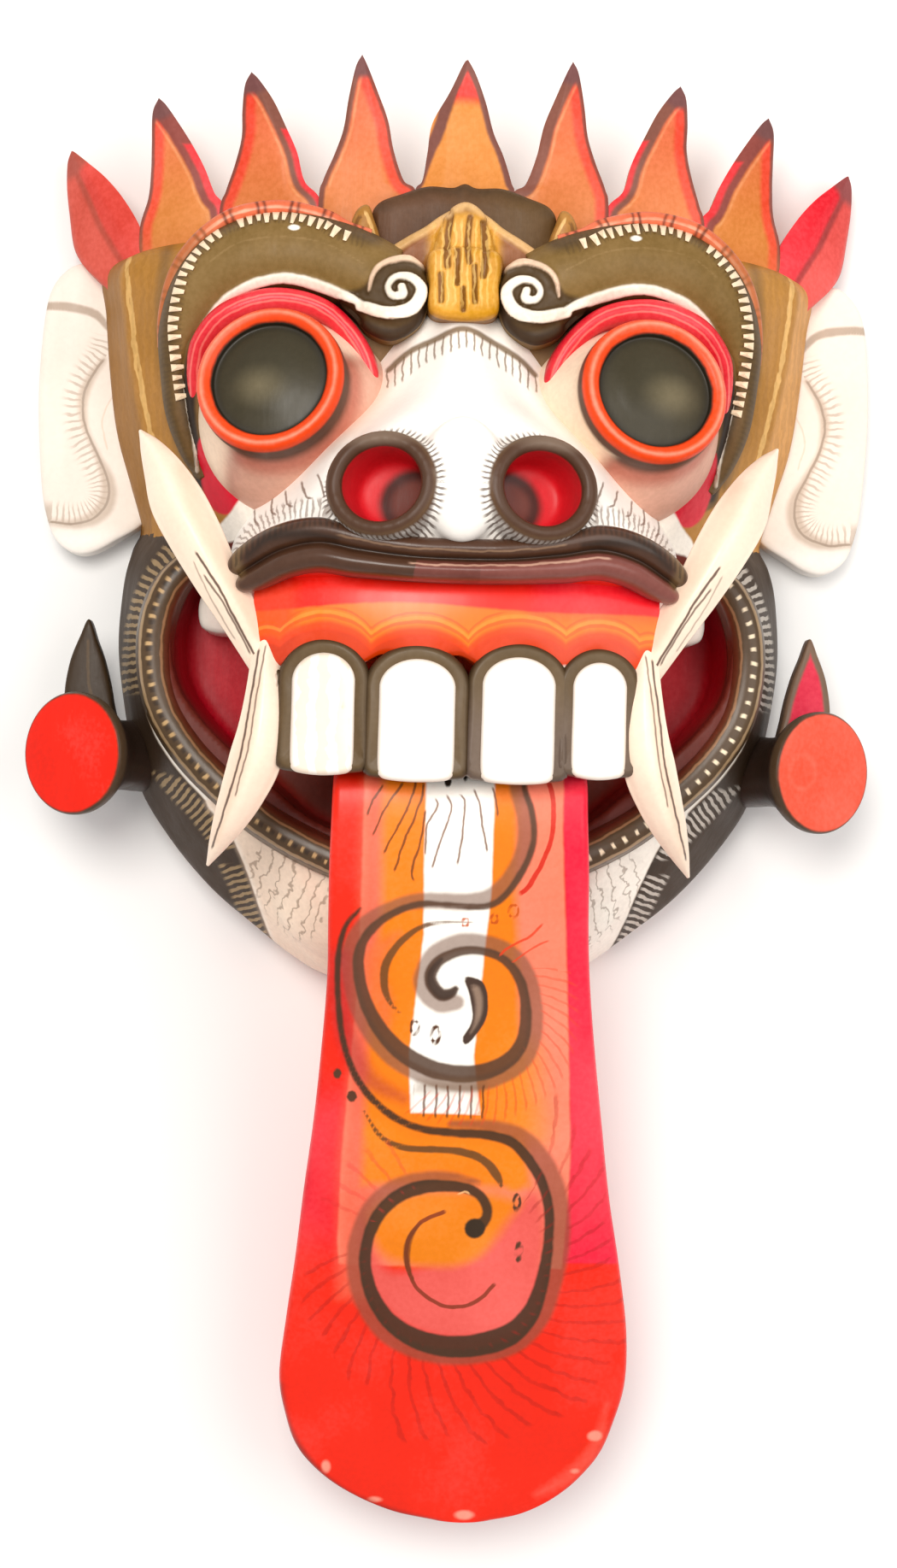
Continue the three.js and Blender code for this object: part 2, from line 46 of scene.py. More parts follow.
# ------------------------------------------------------------------ curves
def spline(points, count, closed=False):
    """Smooth curve through points, uniform Catmull-Rom."""
    p = np.asarray(points, float)
    if closed:
        p = np.vstack([p[-1], p, p[0], p[1]])
        spans = len(points)
    else:
        p = np.vstack([2 * p[0] - p[1], p, 2 * p[-1] - p[-2]])
        spans = len(points) - 1
    t = np.linspace(0, spans, count, endpoint=not closed)
    k = np.minimum(t.astype(int), spans - 1)
    f = (t - k)[:, None]
    a, b, c, d = p[k], p[k + 1], p[k + 2], p[k + 3]
    return 0.5 * (2 * b + (c - a) * f + (2 * a - 5 * b + 4 * c - d) * f ** 2
                  + (3 * b - a - 3 * c + d) * f ** 3)


def near(xy, line, widths=None):
    """Distance to a polyline and arc length of the nearest point; a width may vary along it."""
    line = np.asarray(line, float)
    a, b = line[:-1], line[1:]
    ab = b - a
    length = np.maximum((ab ** 2).sum(1), 1e-9)
    start = np.concatenate([[0], np.cumsum(np.sqrt(length))])[:-1]
    best = np.full(len(xy), 1e9)
    along = np.zeros(len(xy))
    for i in range(len(a)):
        rel = xy - a[i]
        t = np.clip(rel @ ab[i] / length[i], 0, 1)
        d = np.sqrt(((rel - t[:, None] * ab[i]) ** 2).sum(1))
        if widths is not None:
            d = d - 0.5 * (widths[i] * (1 - t) + widths[i + 1] * t)
        closer = d < best
        best[closer] = d[closer]
        along[closer] = start[i] + t[closer] * math.sqrt(length[i])
    return best, along


def stroke(xy, points, width, smooth=True):
    """Field of a brush stroke: below zero inside. width is one number or one for each point."""
    pts = np.asarray(points, float)
    w = np.full(len(pts), float(width)) if np.isscalar(width) else np.asarray(width, float)
    if smooth and len(pts) > 2:
        both = spline(np.column_stack([pts, w]), (len(pts) - 1) * 4 + 1)
        pts, w = both[:, :2], np.maximum(both[:, 2], 0.05)
    return near(xy, pts, w)[0]


def region(xy, points, smooth=True):
    """Signed distance to a closed outline, below zero inside."""
    pts = np.asarray(points, float)
    if smooth:
        pts = spline(pts, len(pts) * 4, closed=True)
    ring = np.vstack([pts, pts[:1]])
    d = near(xy, ring)[0]
    x, y = xy[:, 0], xy[:, 1]
    inside = np.zeros(len(xy), bool)
    for (x0, y0), (x1, y1) in zip(ring[:-1], ring[1:]):
        if y0 == y1:
            continue
        cross = (y0 > y) != (y1 > y)
        inside ^= cross & (x < (x1 - x0) * (y - y0) / (y1 - y0) + x0)
    return np.where(inside, -d, d)


def ellipse(xy, cx, cy, rx, ry):
    q = np.hypot((xy[:, 0] - cx) / rx, (xy[:, 1] - cy) / ry)
    return (q - 1) * min(rx, ry)


def smoothstep(a, b, v):
    t = np.clip((v - a) / (b - a), 0, 1)
    return t * t * (3 - 2 * t)


# ------------------------------------------------------------------ meshes
def link(name, mesh):
    obj = bpy.data.objects.new(name, mesh)
    bpy.context.scene.collection.objects.link(obj)
    return obj


def mesh_from(name, verts, faces):
    """verts in mm, in the drawing's axes with y from the mouth line."""
    v = np.asarray(verts, float) * MM
    v[:, 1] += MOUTH_LINE * MM
    mesh = bpy.data.meshes.new(name)
    mesh.from_pydata(v.tolist(), [], faces)
    mesh.update()
    bm = bmesh.new()
    bm.from_mesh(mesh)
    bmesh.ops.remove_doubles(bm, verts=bm.verts, dist=1e-6)
    bmesh.ops.recalc_face_normals(bm, faces=bm.faces)
    bm.to_mesh(mesh)
    bm.free()
    return mesh


def ring_faces(rows, count, offset=0, caps=(True, True)):
    faces = []
    for r in range(rows - 1):
        for i in range(count):
            j = (i + 1) % count
            a = offset + r * count
            faces.append((a + i, a + j, a + count + j, a + count + i))
    if caps[0]:
        faces.append(tuple(offset + i for i in reversed(range(count))))
    if caps[1]:
        faces.append(tuple(offset + (rows - 1) * count + i for i in range(count)))
    return faces


def ring_mesh(name, rings):
    """rings: rows x count x 3."""
    rings = np.asarray(rings, float)
    rows, count, _ = rings.shape
    return mesh_from(name, rings.reshape(-1, 3), ring_faces(rows, count))


def merge(name, parts):
    verts, faces, start = [], [], 0
    for v, f in parts:
        verts.append(v)
        faces.extend(tuple(i + start for i in face) for face in f)
        start += len(v)
    return mesh_from(name, np.vstack(verts), faces)


def design_xyz(mesh):
    v = np.empty(len(mesh.vertices) * 3)
    mesh.vertices.foreach_get("co", v)
    v = v.reshape(-1, 3) / MM
    v[:, 1] -= MOUTH_LINE
    return v


def sweep(stations, count, section):
    """Rings along stations [x, y, z, width]; section(w, u) gives corners [across, up]."""
    s = spline(stations, count)
    along = np.gradient(s[:, :3], axis=0)
    along /= np.linalg.norm(along, axis=1)[:, None]
    across = np.column_stack([along[:, 1], -along[:, 0], np.zeros(count)])
    across /= np.maximum(np.linalg.norm(across, axis=1), 1e-9)[:, None]
    up = np.cross(across, along)
    up *= np.where(up[:, 2] < 0, -1, 1)[:, None]
    rings = []
    for i in range(count):
        sec = np.asarray(section(max(s[i, 3], 0.2), i / (count - 1)), float)
        rings.append(s[i, :3] + sec[:, :1] * across[i] + sec[:, 1:] * up[i])
    return np.array(rings)


def dome(points, count):
    """Closed smooth section through corner points."""
    return spline(points, count, closed=True)


def lathe(profile, segments, rows):
    """Rings about +Z from a profile of [radius, height], from the axis to the axis."""
    p = spline(profile, rows)
    a = np.linspace(0, 2 * math.pi, segments, endpoint=False)
    r = np.maximum(p[:, 0], 0.01)
    rings = np.empty((rows, segments, 3))
    rings[:, :, 0] = r[:, None] * np.cos(a)
    rings[:, :, 1] = r[:, None] * np.sin(a)
    rings[:, :, 2] = p[:, 1][:, None]
    return rings


def turned(rings, out_tilt, up_tilt, place):
    cu, su = math.cos(-up_tilt), math.sin(-up_tilt)
    co, so = math.cos(out_tilt), math.sin(out_tilt)
    rx = np.array([[1, 0, 0], [0, cu, -su], [0, su, cu]])
    ry = np.array([[co, 0, so], [0, 1, 0], [-so, 0, co]])
    return rings @ (ry @ rx).T + np.asarray(place, float)


def evaluated(obj):
    mesh = bpy.data.meshes.new_from_object(obj.evaluated_get(bpy.context.evaluated_depsgraph_get()))
    return mesh


def boolean(mesh, tools):
    """Joins and cuts: tools are (mesh, 'UNION' or 'DIFFERENCE')."""
    work = link("work", mesh)
    helpers = []
    for tool, how in tools:
        helper = link("tool", tool)
        helpers.append(helper)
        mod = work.modifiers.new("cut", "BOOLEAN")
        mod.operation = how
        mod.object = helper
        mod.solver = "MANIFOLD"
    result = evaluated(work)
    for obj in [work, *helpers]:
        bpy.data.objects.remove(obj)
    return result


def remeshed(mesh, voxel, smooth=2):
    work = link("work", mesh)
    mod = work.modifiers.new("remesh", "REMESH")
    mod.mode = "VOXEL"
    mod.voxel_size = voxel
    if smooth:
        soft = work.modifiers.new("smooth", "SMOOTH")
        soft.factor = 0.5
        soft.iterations = smooth
    result = evaluated(work)
    bpy.data.objects.remove(work)
    return result


# ------------------------------------------------------------------ paint
def tone(r, g, b):
    """Colour from 0-255 display values."""
    lin = []
    for c in (r, g, b):
        c /= 255
        lin.append(c / 12.92 if c <= 0.04045 else ((c + 0.055) / 1.055) ** 2.4)
    return (*lin, 1.0)


class Paint:
    """Layers of paint on carved wood, each with a mask from a field carried by the mesh."""

    def __init__(self, name, base, rough=0.5, coat=0.0, grain=0.25, mottle=0.12, seed=0.0):
        self.mat = bpy.data.materials.new(name)
        self.mat.use_nodes = True
        self.nodes = self.mat.node_tree.nodes
        self.links = self.mat.node_tree.links
        self.bsdf = self.nodes["Principled BSDF"]
        self.bsdf.inputs["Coat Weight"].default_value = coat
        self.bsdf.inputs["Coat Roughness"].default_value = 0.22
        self.bsdf.inputs["Specular IOR Level"].default_value = 0.28
        self.rough = rough
        self.grain = grain
        self.mottle = mottle
        self.seed = seed
        self.fields = {}
        coord = self.nodes.new("ShaderNodeTexCoord")
        self.place = coord.outputs["Object"]
        self.wobble = self.noise(140, 2)
        self.colour = self.const_colour(base)

    def link(self, value, socket):
        if isinstance(value, (int, float)):
            socket.default_value = value
        else:
            self.links.new(value, socket)

    def const_colour(self, rgba):
        node = self.nodes.new("ShaderNodeRGB")
        node.outputs[0].default_value = rgba
        return node.outputs[0]

    def noise(self, scale, detail=2, stretch=None, rough=0.5):
        node = self.nodes.new("ShaderNodeTexNoise")
        node.noise_dimensions = "4D"
        node.inputs["W"].default_value = self.seed + scale * 0.01
        node.inputs["Scale"].default_value = scale
        node.inputs["Detail"].default_value = detail
        node.inputs["Roughness"].default_value = rough
        if stretch:
            mapping = self.nodes.new("ShaderNodeMapping")
            mapping.inputs["Scale"].default_value = stretch
            self.links.new(self.place, mapping.inputs["Vector"])
            self.links.new(mapping.outputs["Vector"], node.inputs["Vector"])
        else:
            self.links.new(self.place, node.inputs["Vector"])
        return node.outputs["Fac"]

    def math(self, how, a, b=0.0, clamp=False):
        node = self.nodes.new("ShaderNodeMath")
        node.operation = how
        node.use_clamp = clamp
        self.link(a, node.inputs[0])
        self.link(b, node.inputs[1])
        return node.outputs[0]

    def remap(self, value, low, high, out_low=0.0, out_high=1.0):
        node = self.nodes.new("ShaderNodeMapRange")
        node.interpolation_type = "SMOOTHSTEP"
        self.link(value, node.inputs["Value"])
        node.inputs["From Min"].default_value = low
        node.inputs["From Max"].default_value = high
        node.inputs["To Min"].default_value = out_low
        node.inputs["To Max"].default_value = out_high
        return node.outputs["Result"]

    def field(self, values):
        name = f"f{len(self.fields)}"
        self.fields[name] = np.asarray(values, float)
        node = self.nodes.new("ShaderNodeAttribute")
        node.attribute_name = name
        return node.outputs["Fac"]

    def mask(self, values, soft=0.6, wobble=0.5):
        value = self.field(np.clip(values, -60, 60))
        if wobble:
            shake = self.math("MULTIPLY", self.math("SUBTRACT", self.wobble, 0.5), wobble * 2)
            value = self.math("ADD", value, shake)
        return self.remap(value, soft, -soft)

    def cover(self, mask, colour, amount=1.0, how="MIX"):
        node = self.nodes.new("ShaderNodeMix")
        node.data_type = "RGBA"
        node.blend_type = how
        node.clamp_factor = True
        fac = mask if amount == 1.0 else self.math("MULTIPLY", mask, amount)
        self.link(fac, node.inputs["Factor"])
        self.links.new(self.colour, node.inputs["A"])
        if isinstance(colour, tuple):
            node.inputs["B"].default_value = colour
        else:
            self.links.new(colour, node.inputs["B"])
        self.colour = node.outputs["Result"]

    def layer(self, values, colour, soft=0.6, amount=1.0, wobble=0.5, how="MIX"):
        self.cover(self.mask(values, soft, wobble), colour, amount, how)

    def hatch(self, along, spacing, duty, gate, colour, amount=1.0, soft=0.8, jitter=0.35,
              groups=None):
        """Fine strokes across a band: along is the length down the band, gate bounds the band."""
        u = self.field(np.asarray(along) / spacing)
        shake = self.math("MULTIPLY", self.math("SUBTRACT", self.wobble, 0.5), jitter * 2)
        u = self.math("ADD", u, shake)
        tri = self.math("ABSOLUTE", self.math("SUBTRACT", self.math("FRACT", u), 0.5))
        lines = self.remap(tri, duty * 0.5 + 0.07, duty * 0.5 - 0.03)
        mask = self.math("MULTIPLY", lines, self.mask(gate, soft, 1.2))
        if groups is not None:
            mask = self.math("MULTIPLY", mask, self.mask(groups, 2.0, 0.5))
        self.cover(mask, colour, amount)

    def on(self, mesh, front=True):
        """Sets the places that the brush methods below work at: signed x and y, mm."""
        self.p = design_xyz(mesh)
        self.xy = self.p[:, :2]
        self.fold = np.column_stack([np.abs(self.p[:, 0]), self.p[:, 1]])
        self.away = np.zeros(len(self.p))
        if front:
            normal = np.empty(len(self.p) * 3)
            mesh.vertices.foreach_get("normal", normal)
            self.away = 30.0 * (normal.reshape(-1, 3)[:, 2] < 0.02)
        return self

    def place_of(self, both):
        return self.fold if both else self.xy

    def fill(self, points, colour, soft=0.7, amount=1.0, both=False, smooth=True, wobble=0.5):
        field = region(self.place_of(both), points, smooth) + self.away
        self.layer(field, colour, soft, amount, wobble)

    def brush(self, points, width, colour, soft=0.7, amount=1.0, both=False, wobble=0.5):
        field = stroke(self.place_of(both), points, width) + self.away
        self.layer(field, colour, soft, amount, wobble)

    def line(self, points, width, colour, amount=1.0, both=False, soft=0.3, wobble=0.35):
        """Thin line, kept sharp between vertices by a signed distance."""
        pts = spline(points, len(points) * 5) if len(points) > 2 else np.asarray(points, float)
        xy = self.place_of(both)
        d, along = near(xy, pts)
        total = np.sqrt((np.diff(pts, axis=0) ** 2).sum(1)).sum()
        gate = np.where((along <= 1e-6) | (along >= total - 1e-6), d,
                        -np.minimum(along, total - along)) + self.away
        k = np.argmin(((xy[:, None, :] - pts[None, ::3, :]) ** 2).sum(2), axis=1) * 3
        k = np.clip(k, 1, len(pts) - 2)
        tangent = pts[k + 1] - pts[k - 1]
        side = np.sign(tangent[:, 0] * (xy[:, 1] - pts[k, 1]) - tangent[:, 1] * (xy[:, 0] - pts[k, 0]))
        value = self.field(np.clip(d * side, -40, 40))
        shake = self.math("MULTIPLY", self.math("SUBTRACT", self.wobble, 0.5), wobble * 4)
        value = self.math("ABSOLUTE", self.math("ADD", value, shake))
        mask = self.remap(value, width / 2 + soft, width / 2 - soft)
        mask = self.math("MULTIPLY", mask, self.mask(gate, 1.2, 0.3))
        self.cover(mask, colour, amount)

    def strip(self, low, high, colour, soft=0.7, amount=1.0, both=False, wobble=0.5, within=None):
        """Column between two side curves x(y), each given as points (x, y) from top to bottom."""
        xy = self.place_of(both)
        x_low = np.interp(-xy[:, 1], [-p[1] for p in low], [p[0] for p in low])
        x_high = np.interp(-xy[:, 1], [-p[1] for p in high], [p[0] for p in high])
        field = np.maximum(x_low - xy[:, 0], xy[:, 0] - x_high)
        if within:
            field = np.maximum(field, np.maximum(xy[:, 1] - within[0], within[1] - xy[:, 1]))
        self.layer(field + self.away, colour, soft, amount, wobble)

    def contour(self, values, width, colour, gate=None, amount=1.0, soft=0.3, wobble=0.3):
        """Thin line where a signed field crosses zero."""
        value = self.field(np.clip(values, -40, 40))
        shake = self.math("MULTIPLY", self.math("SUBTRACT", self.wobble, 0.5), wobble * 4)
        value = self.math("ABSOLUTE", self.math("ADD", value, shake))
        mask = self.remap(value, width / 2 + soft, width / 2 - soft)
        if gate is not None:
            mask = self.math("MULTIPLY", mask, self.mask(gate, 1.5, 0.4))
        self.cover(mask, colour, amount)

    def blobs(self, places, radius, colour, soft=0.5, amount=1.0, both=False, hole=None):
        xy = self.place_of(both)
        d = np.full(len(xy), 60.0)
        for spot in places:
            rx, ry = (spot[2], spot[3]) if len(spot) > 2 else (radius, radius)
            d = np.minimum(d, ellipse(xy, spot[0], spot[1], rx, ry))
        if hole:
            d = np.abs(d) - hole
        self.layer(d + self.away, colour, soft, amount, 0.4)

    def rays(self, centre, count, inner, outer, duty, colour, amount=1.0, twist=0.0, sector=None,
             jitter=0.25):
        """Fine strokes fanning out from a centre; inner and outer are fields or radii."""
        rel = self.xy - np.asarray(centre, float)
        r = np.hypot(rel[:, 0], rel[:, 1])
        angle = np.arctan2(rel[:, 1], rel[:, 0]) + twist * r / 50
        cut = -math.pi if sector is None else sector[0]
        turned_angle = (angle - cut) % (2 * math.pi)
        low = inner - r if np.isscalar(inner) else inner
        high = r - outer if np.isscalar(outer) else outer
        gate = np.maximum(low, high)
        if sector is not None:
            span = sector[1] - sector[0]
            gate = np.maximum(gate, np.maximum(turned_angle - span, 0) * r)
            gate = np.where(turned_angle > span, 30, gate)
        self.hatch(turned_angle * count / (2 * math.pi), 1.0, duty, gate + self.away, colour,
                   amount,
                   soft=2.5, jitter=jitter)

    def apply(self, obj):
        broad = self.noise(22, 3)
        fine = self.noise(420, 3)
        shade = self.math("ADD", self.remap(broad, 0.3, 0.7, -self.mottle, self.mottle * 0.6),
                          self.remap(fine, 0.3, 0.7, -self.mottle * 0.35, self.mottle * 0.35))
        tint = self.nodes.new("ShaderNodeHueSaturation")
        self.links.new(self.colour, tint.inputs["Color"])
        self.link(self.math("ADD", shade, 1.0), tint.inputs["Value"])
        self.link(self.math("ADD", self.math("MULTIPLY", shade, -0.25), 1.0),
                  tint.inputs["Saturation"])
        self.links.new(tint.outputs["Color"], self.bsdf.inputs["Base Color"])
        brush = self.noise(95, 4, stretch=(1.0, 0.22, 1.0), rough=0.6)
        wood = self.noise(60, 5, stretch=(3.2, 0.35, 3.2), rough=0.65)
        height = self.math("ADD", self.math("MULTIPLY", brush, 0.6),
                           self.math("MULTIPLY", wood, 0.4))
        height = self.math("ADD", height, self.math("MULTIPLY", fine, 0.15))
        bump = self.nodes.new("ShaderNodeBump")
        bump.inputs["Strength"].default_value = self.grain
        bump.inputs["Distance"].default_value = 0.0012
        self.links.new(height, bump.inputs["Height"])
        self.links.new(bump.outputs["Normal"], self.bsdf.inputs["Normal"])
        gloss = self.remap(brush, 0.25, 0.75, self.rough + 0.1, self.rough - 0.08)
        self.links.new(gloss, self.bsdf.inputs["Roughness"])
        mesh = obj.data
        for name, values in self.fields.items():
            attr = mesh.attributes.new(name, "FLOAT", "POINT")
            attr.data.foreach_set("value", values.astype(np.float32))
        mesh.materials.clear()
        mesh.materials.append(self.mat)


def piece(name, mesh, node, flat_angle=None):
    obj = link(name, mesh)
    mesh.polygons.foreach_set("use_smooth", [True] * len(mesh.polygons))
    if flat_angle:
        mesh.set_sharp_from_angle(angle=math.radians(flat_angle))
    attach(obj, "root")
    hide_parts(node)
    return obj


# colours, display values
WHITE = tone(250, 243, 232)
IVORY = tone(250, 226, 204)
GOLD = tone(176, 122, 48)
GOLD_DARK = tone(120, 78, 26)
OLIVE = tone(112, 82, 42)
INK = tone(40, 27, 18)
ORANGE = tone(240, 116, 10)
CRIMSON = tone(214, 30, 52)


# ------------------------------------------------------------------ camera and light
def camera():
    data = bpy.data.cameras.new("camera")
    obj = bpy.data.objects.new("camera", data)
    bpy.context.scene.collection.objects.link(obj)
    data.sensor_fit = "AUTO"
    data.sensor_width = 36
    data.lens = 56.4
    place = np.array([-0.030, MOUTH_LINE * MM, 1.250])
    target = np.array([0.0, MOUTH_LINE * MM, 0.080])
    forward = target - place
    forward /= np.linalg.norm(forward)
    right = np.cross(forward, [0, 1, 0])
    right /= np.linalg.norm(right)
    up = np.cross(right, forward)
    roll = math.radians(1.5)
    side = right * math.cos(roll) + up * math.sin(roll)
    top = -right * math.sin(roll) + up * math.cos(roll)
    matrix = np.eye(4)
    matrix[:3, 0] = side
    matrix[:3, 1] = top
    matrix[:3, 2] = -forward
    matrix[:3, 3] = place
    obj.matrix_world = Matrix(matrix.tolist())
    bpy.context.scene.camera = obj


def area_light(name, place, target, size, power, colour=(1, 1, 1)):
    data = bpy.data.lights.new(name, "AREA")
    data.shape = "DISK"
    data.size = size
    data.energy = power
    data.color = colour
    obj = bpy.data.objects.new(name, data)
    obj.location = place
    obj.rotation_euler = (Vector(target) - Vector(place)).to_track_quat("-Z", "Y").to_euler()
    bpy.context.scene.collection.objects.link(obj)


def stage():
    size = 3.0
    mesh = bpy.data.meshes.new("floor")
    mesh.from_pydata([(-size, -size, 0), (size, -size, 0), (size, size, 0), (-size, size, 0)], [],
                     [(0, 1, 2, 3)])
    floor = link("floor", mesh)
    mat = bpy.data.materials.new("floor")
    mat.use_nodes = True
    shader = mat.node_tree.nodes["Principled BSDF"]
    shader.inputs["Base Color"].default_value = (0.93, 0.93, 0.93, 1)
    shader.inputs["Roughness"].default_value = 0.9
    mesh.materials.append(mat)
    world = bpy.data.worlds.new("studio")
    bpy.context.scene.world = world
    world.use_nodes = True
    world.node_tree.nodes["Background"].inputs["Color"].default_value = (1.0, 0.985, 0.965, 1)
    world.node_tree.nodes["Background"].inputs["Strength"].default_value = 0.62
    area_light("key", (-0.35, 0.55, 1.9), (0, 0, 0.05), 0.9, 24, (1.0, 0.96, 0.9))
    area_light("fill", (0.9, 0.2, 1.4), (0, 0, 0.05), 1.2, 9, (1.0, 0.97, 0.93))
    bpy.context.scene.view_settings.view_transform = "Standard"
    bpy.context.scene.view_settings.look = "None"
    bpy.context.scene.view_settings.exposure = 0.0


# ------------------------------------------------------------------ carved block
SKULL = [
    (0, [(0, 262), (60, 262), (100, 262), (150, 258), (178, 250), (177, 225), (175, 198),
         (171, 170),
         (164, 146), (157, 122), (150, 100), (120, 90), (60, 90), (0, 90)]),
    (25, [(0, 262), (60, 262), (100, 262), (150, 258), (176, 252), (175, 230), (172, 198),
          (168, 171),
          (161, 147), (153, 121), (148, 100), (120, 90), (60, 90), (0, 90)]),
    (60, [(0, 262), (60, 262), (100, 262), (146, 256), (164, 245), (162, 220), (159, 200),
          (155, 181),
          (150, 160), (143, 135), (136, 112), (112, 92), (60, 90), (0, 90)]),
    (66, [(0, 261), (60, 261), (98, 261), (143, 254), (158, 243), (156, 219), (153, 199),
          (149, 180),
          (144, 160), (138, 135), (132, 112), (110, 92), (60, 90), (0, 90)]),
    (80, [(0, 258), (60, 258), (95, 258), (132, 248), (145, 232), (144, 215), (141, 198),
          (138, 178),
          (133, 158), (126, 138), (118, 118), (100, 95), (60, 91), (0, 90)]),
    (104, [(0, 248), (50, 250), (80, 250), (112, 242), (127, 226), (129, 208), (128, 190),
           (125, 174),
           (120, 158), (112, 142), (100, 124), (84, 104), (50, 96), (0, 94)]),
    (108, [(0, 240), (46, 240), (72, 240), (98, 232), (110, 220), (112, 206), (110, 190),
           (108, 174),
           (104, 160), (96, 146), (86, 130), (72, 114), (44, 106), (0, 104)]),
]

JAW = [
    (0, [(0, 130), (80, 130), (138, 130), (157, 122), (163, 108), (166, 90), (167, 62), (162, 28),
         (155, -4), (139, -30), (118, -54), (96, -72), (75, -88), (57, -97), (25, -101),
         (0, -102)]),
    (28, [(0, 130), (80, 130), (136, 128), (153, 119), (160, 106), (163, 88), (164, 61), (159, 26),
          (152, -5), (136, -31), (115, -55), (93, -73), (73, -88), (55, -97), (25, -101),
          (0, -102)]),
    (50, [(0, 125), (80, 125), (130, 122), (146, 112), (152, 99), (155, 84), (156, 60), (152, 28),
          (143, 2), (128, -20), (108, -42), (88, -63), (69, -82), (53, -93), (25, -98), (0, -99)]),
    (70, [(0, 120), (70, 120), (118, 118), (128, 110), (139, 94), (145, 80), (149, 58), (145, 28),
          (134, 8), (116, -11), (98, -27), (82, -46), (66, -70), (48, -84), (25, -90), (0, -91)]),
    (80, [(0, 112), (60, 112), (108, 112), (122, 104), (133, 90), (139, 77), (142, 58), (138, 31),
          (127, 11), (109, -6), (90, -21), (75, -40), (60, -60), (42, -70), (23, -75), (0, -76)]),
]

MOUTH_FLOOR = 40       # the inside back wall of the mouth
MOUTH = [(0, 104), (60, 104), (104, 101), (124, 94), (131, 82), (134, 66), (130, 44), (117, 26),
         (101, 11), (82, -5), (62, -20), (30, -30), (0, -33)]
HOLLOW_RIM = [(0, 238), (90, 238), (136, 230), (154, 214), (154, 182), (147, 152), (140, 122),
              (145, 92), (146, 56), (138, 20), (122, -12), (98, -42), (68, -68), (34, -80),
              (0, -82)]
HOLLOW = [(-5, HOLLOW_RIM), (0, HOLLOW_RIM),
          (25, [(0, 236), (88, 236), (132, 226), (148, 210), (147, 180), (140, 152), (132, 122),
                (136, 92), (137, 58), (130, 24), (112, -8), (90, -34), (62, -56), (30, -66),
                (0, -68)])]
HOLLOW_BROW = [
    (20, [(0, 234), (86, 234), (130, 224), (147, 208), (145, 180), (138, 152), (126, 124),
          (100, 112),
          (0, 112)]),
    (60, [(0, 226), (84, 226), (122, 216), (136, 200), (134, 178), (126, 154), (114, 130),
          (90, 116),
          (0, 114)]),
    (86, [(0, 214), (70, 216), (98, 208), (110, 194), (108, 174), (101, 154), (88, 136), (66, 122),
          (0, 118)])]
HOLLOW_SNOUT = [
    (80, [(0, 178), (34, 172), (52, 152), (56, 130), (48, 116), (0, 114)]),
    (136, [(0, 158), (24, 154), (40, 142), (44, 126), (36, 116), (0, 114)])]


def full_outline(half, count, smooth=True):
    right = np.asarray(half, float)
    left = right[1:-1][::-1] * np.array([-1, 1])
    ring = np.vstack([right, left])
    if smooth:
        return spline(ring, count, closed=True)
    steps = []
    per = max(count // len(ring), 1)
    for a, b in zip(ring, np.roll(ring, -1, axis=0)):
        for k in range(per):
            steps.append(a + (b - a) * k / per)
    return np.array(steps)


def layered(name, levels, count=120, rows=24, smooth=True):
    """Loft of half outlines given by height."""
    rings = np.array([np.column_stack([o, np.full(len(o), z)]) for z, o in
                      [(z, full_outline(half, count, smooth)) for z, half in levels]])
    if smooth and len(levels) > 2 and rows > len(levels):
        flat = rings.reshape(len(levels), -1)
        knots = np.linspace(0, len(levels) - 1, rows)
        low = np.minimum(knots.astype(int), len(levels) - 2)
        t = (knots - low)[:, None]
        rings = (flat[low] * (1 - t) + flat[low + 1] * t).reshape(rows, -1, 3)
    return ring_mesh(name, rings)


def ball(name, centre, radii, segments=48, rows=24):
    a = np.linspace(0, math.pi, rows)
    profile = np.column_stack([np.sin(a), -np.cos(a)])
    t = np.linspace(0, 2 * math.pi, segments, endpoint=False)
    rings = np.empty((rows, segments, 3))
    rings[:, :, 0] = np.maximum(profile[:, 0], 1e-3)[:, None] * np.cos(t) * radii[0] + centre[0]
    rings[:, :, 1] = np.maximum(profile[:, 0], 1e-3)[:, None] * np.sin(t) * radii[1] + centre[1]
    rings[:, :, 2] = (profile[:, 1] * radii[2])[:, None] + centre[2]
    return ring_mesh(name, rings)


WHITE_RIM = [(0, 112), (100, 114), (119, 112), (131, 103), (140, 91), (147, 72), (149, 46),
             (143, 24),
             (131, 5), (115, -12), (104, -26), (94, -50), (84, -80), (70, -104), (0, -112)]
CHIN_EDGE = [(0, -20), (60, -31), (84, -22), (100, -9), (116, -12), (104, -26), (94, -50),
             (84, -80),
             (70, -108), (0, -115)]
TEMPLE_IN = [(150, 262), (136, 246), (139, 230), (141, 212), (140, 196), (137, 180), (133, 164),
             (126, 146), (118, 132), (122, 118), (134, 108), (150, 112)]


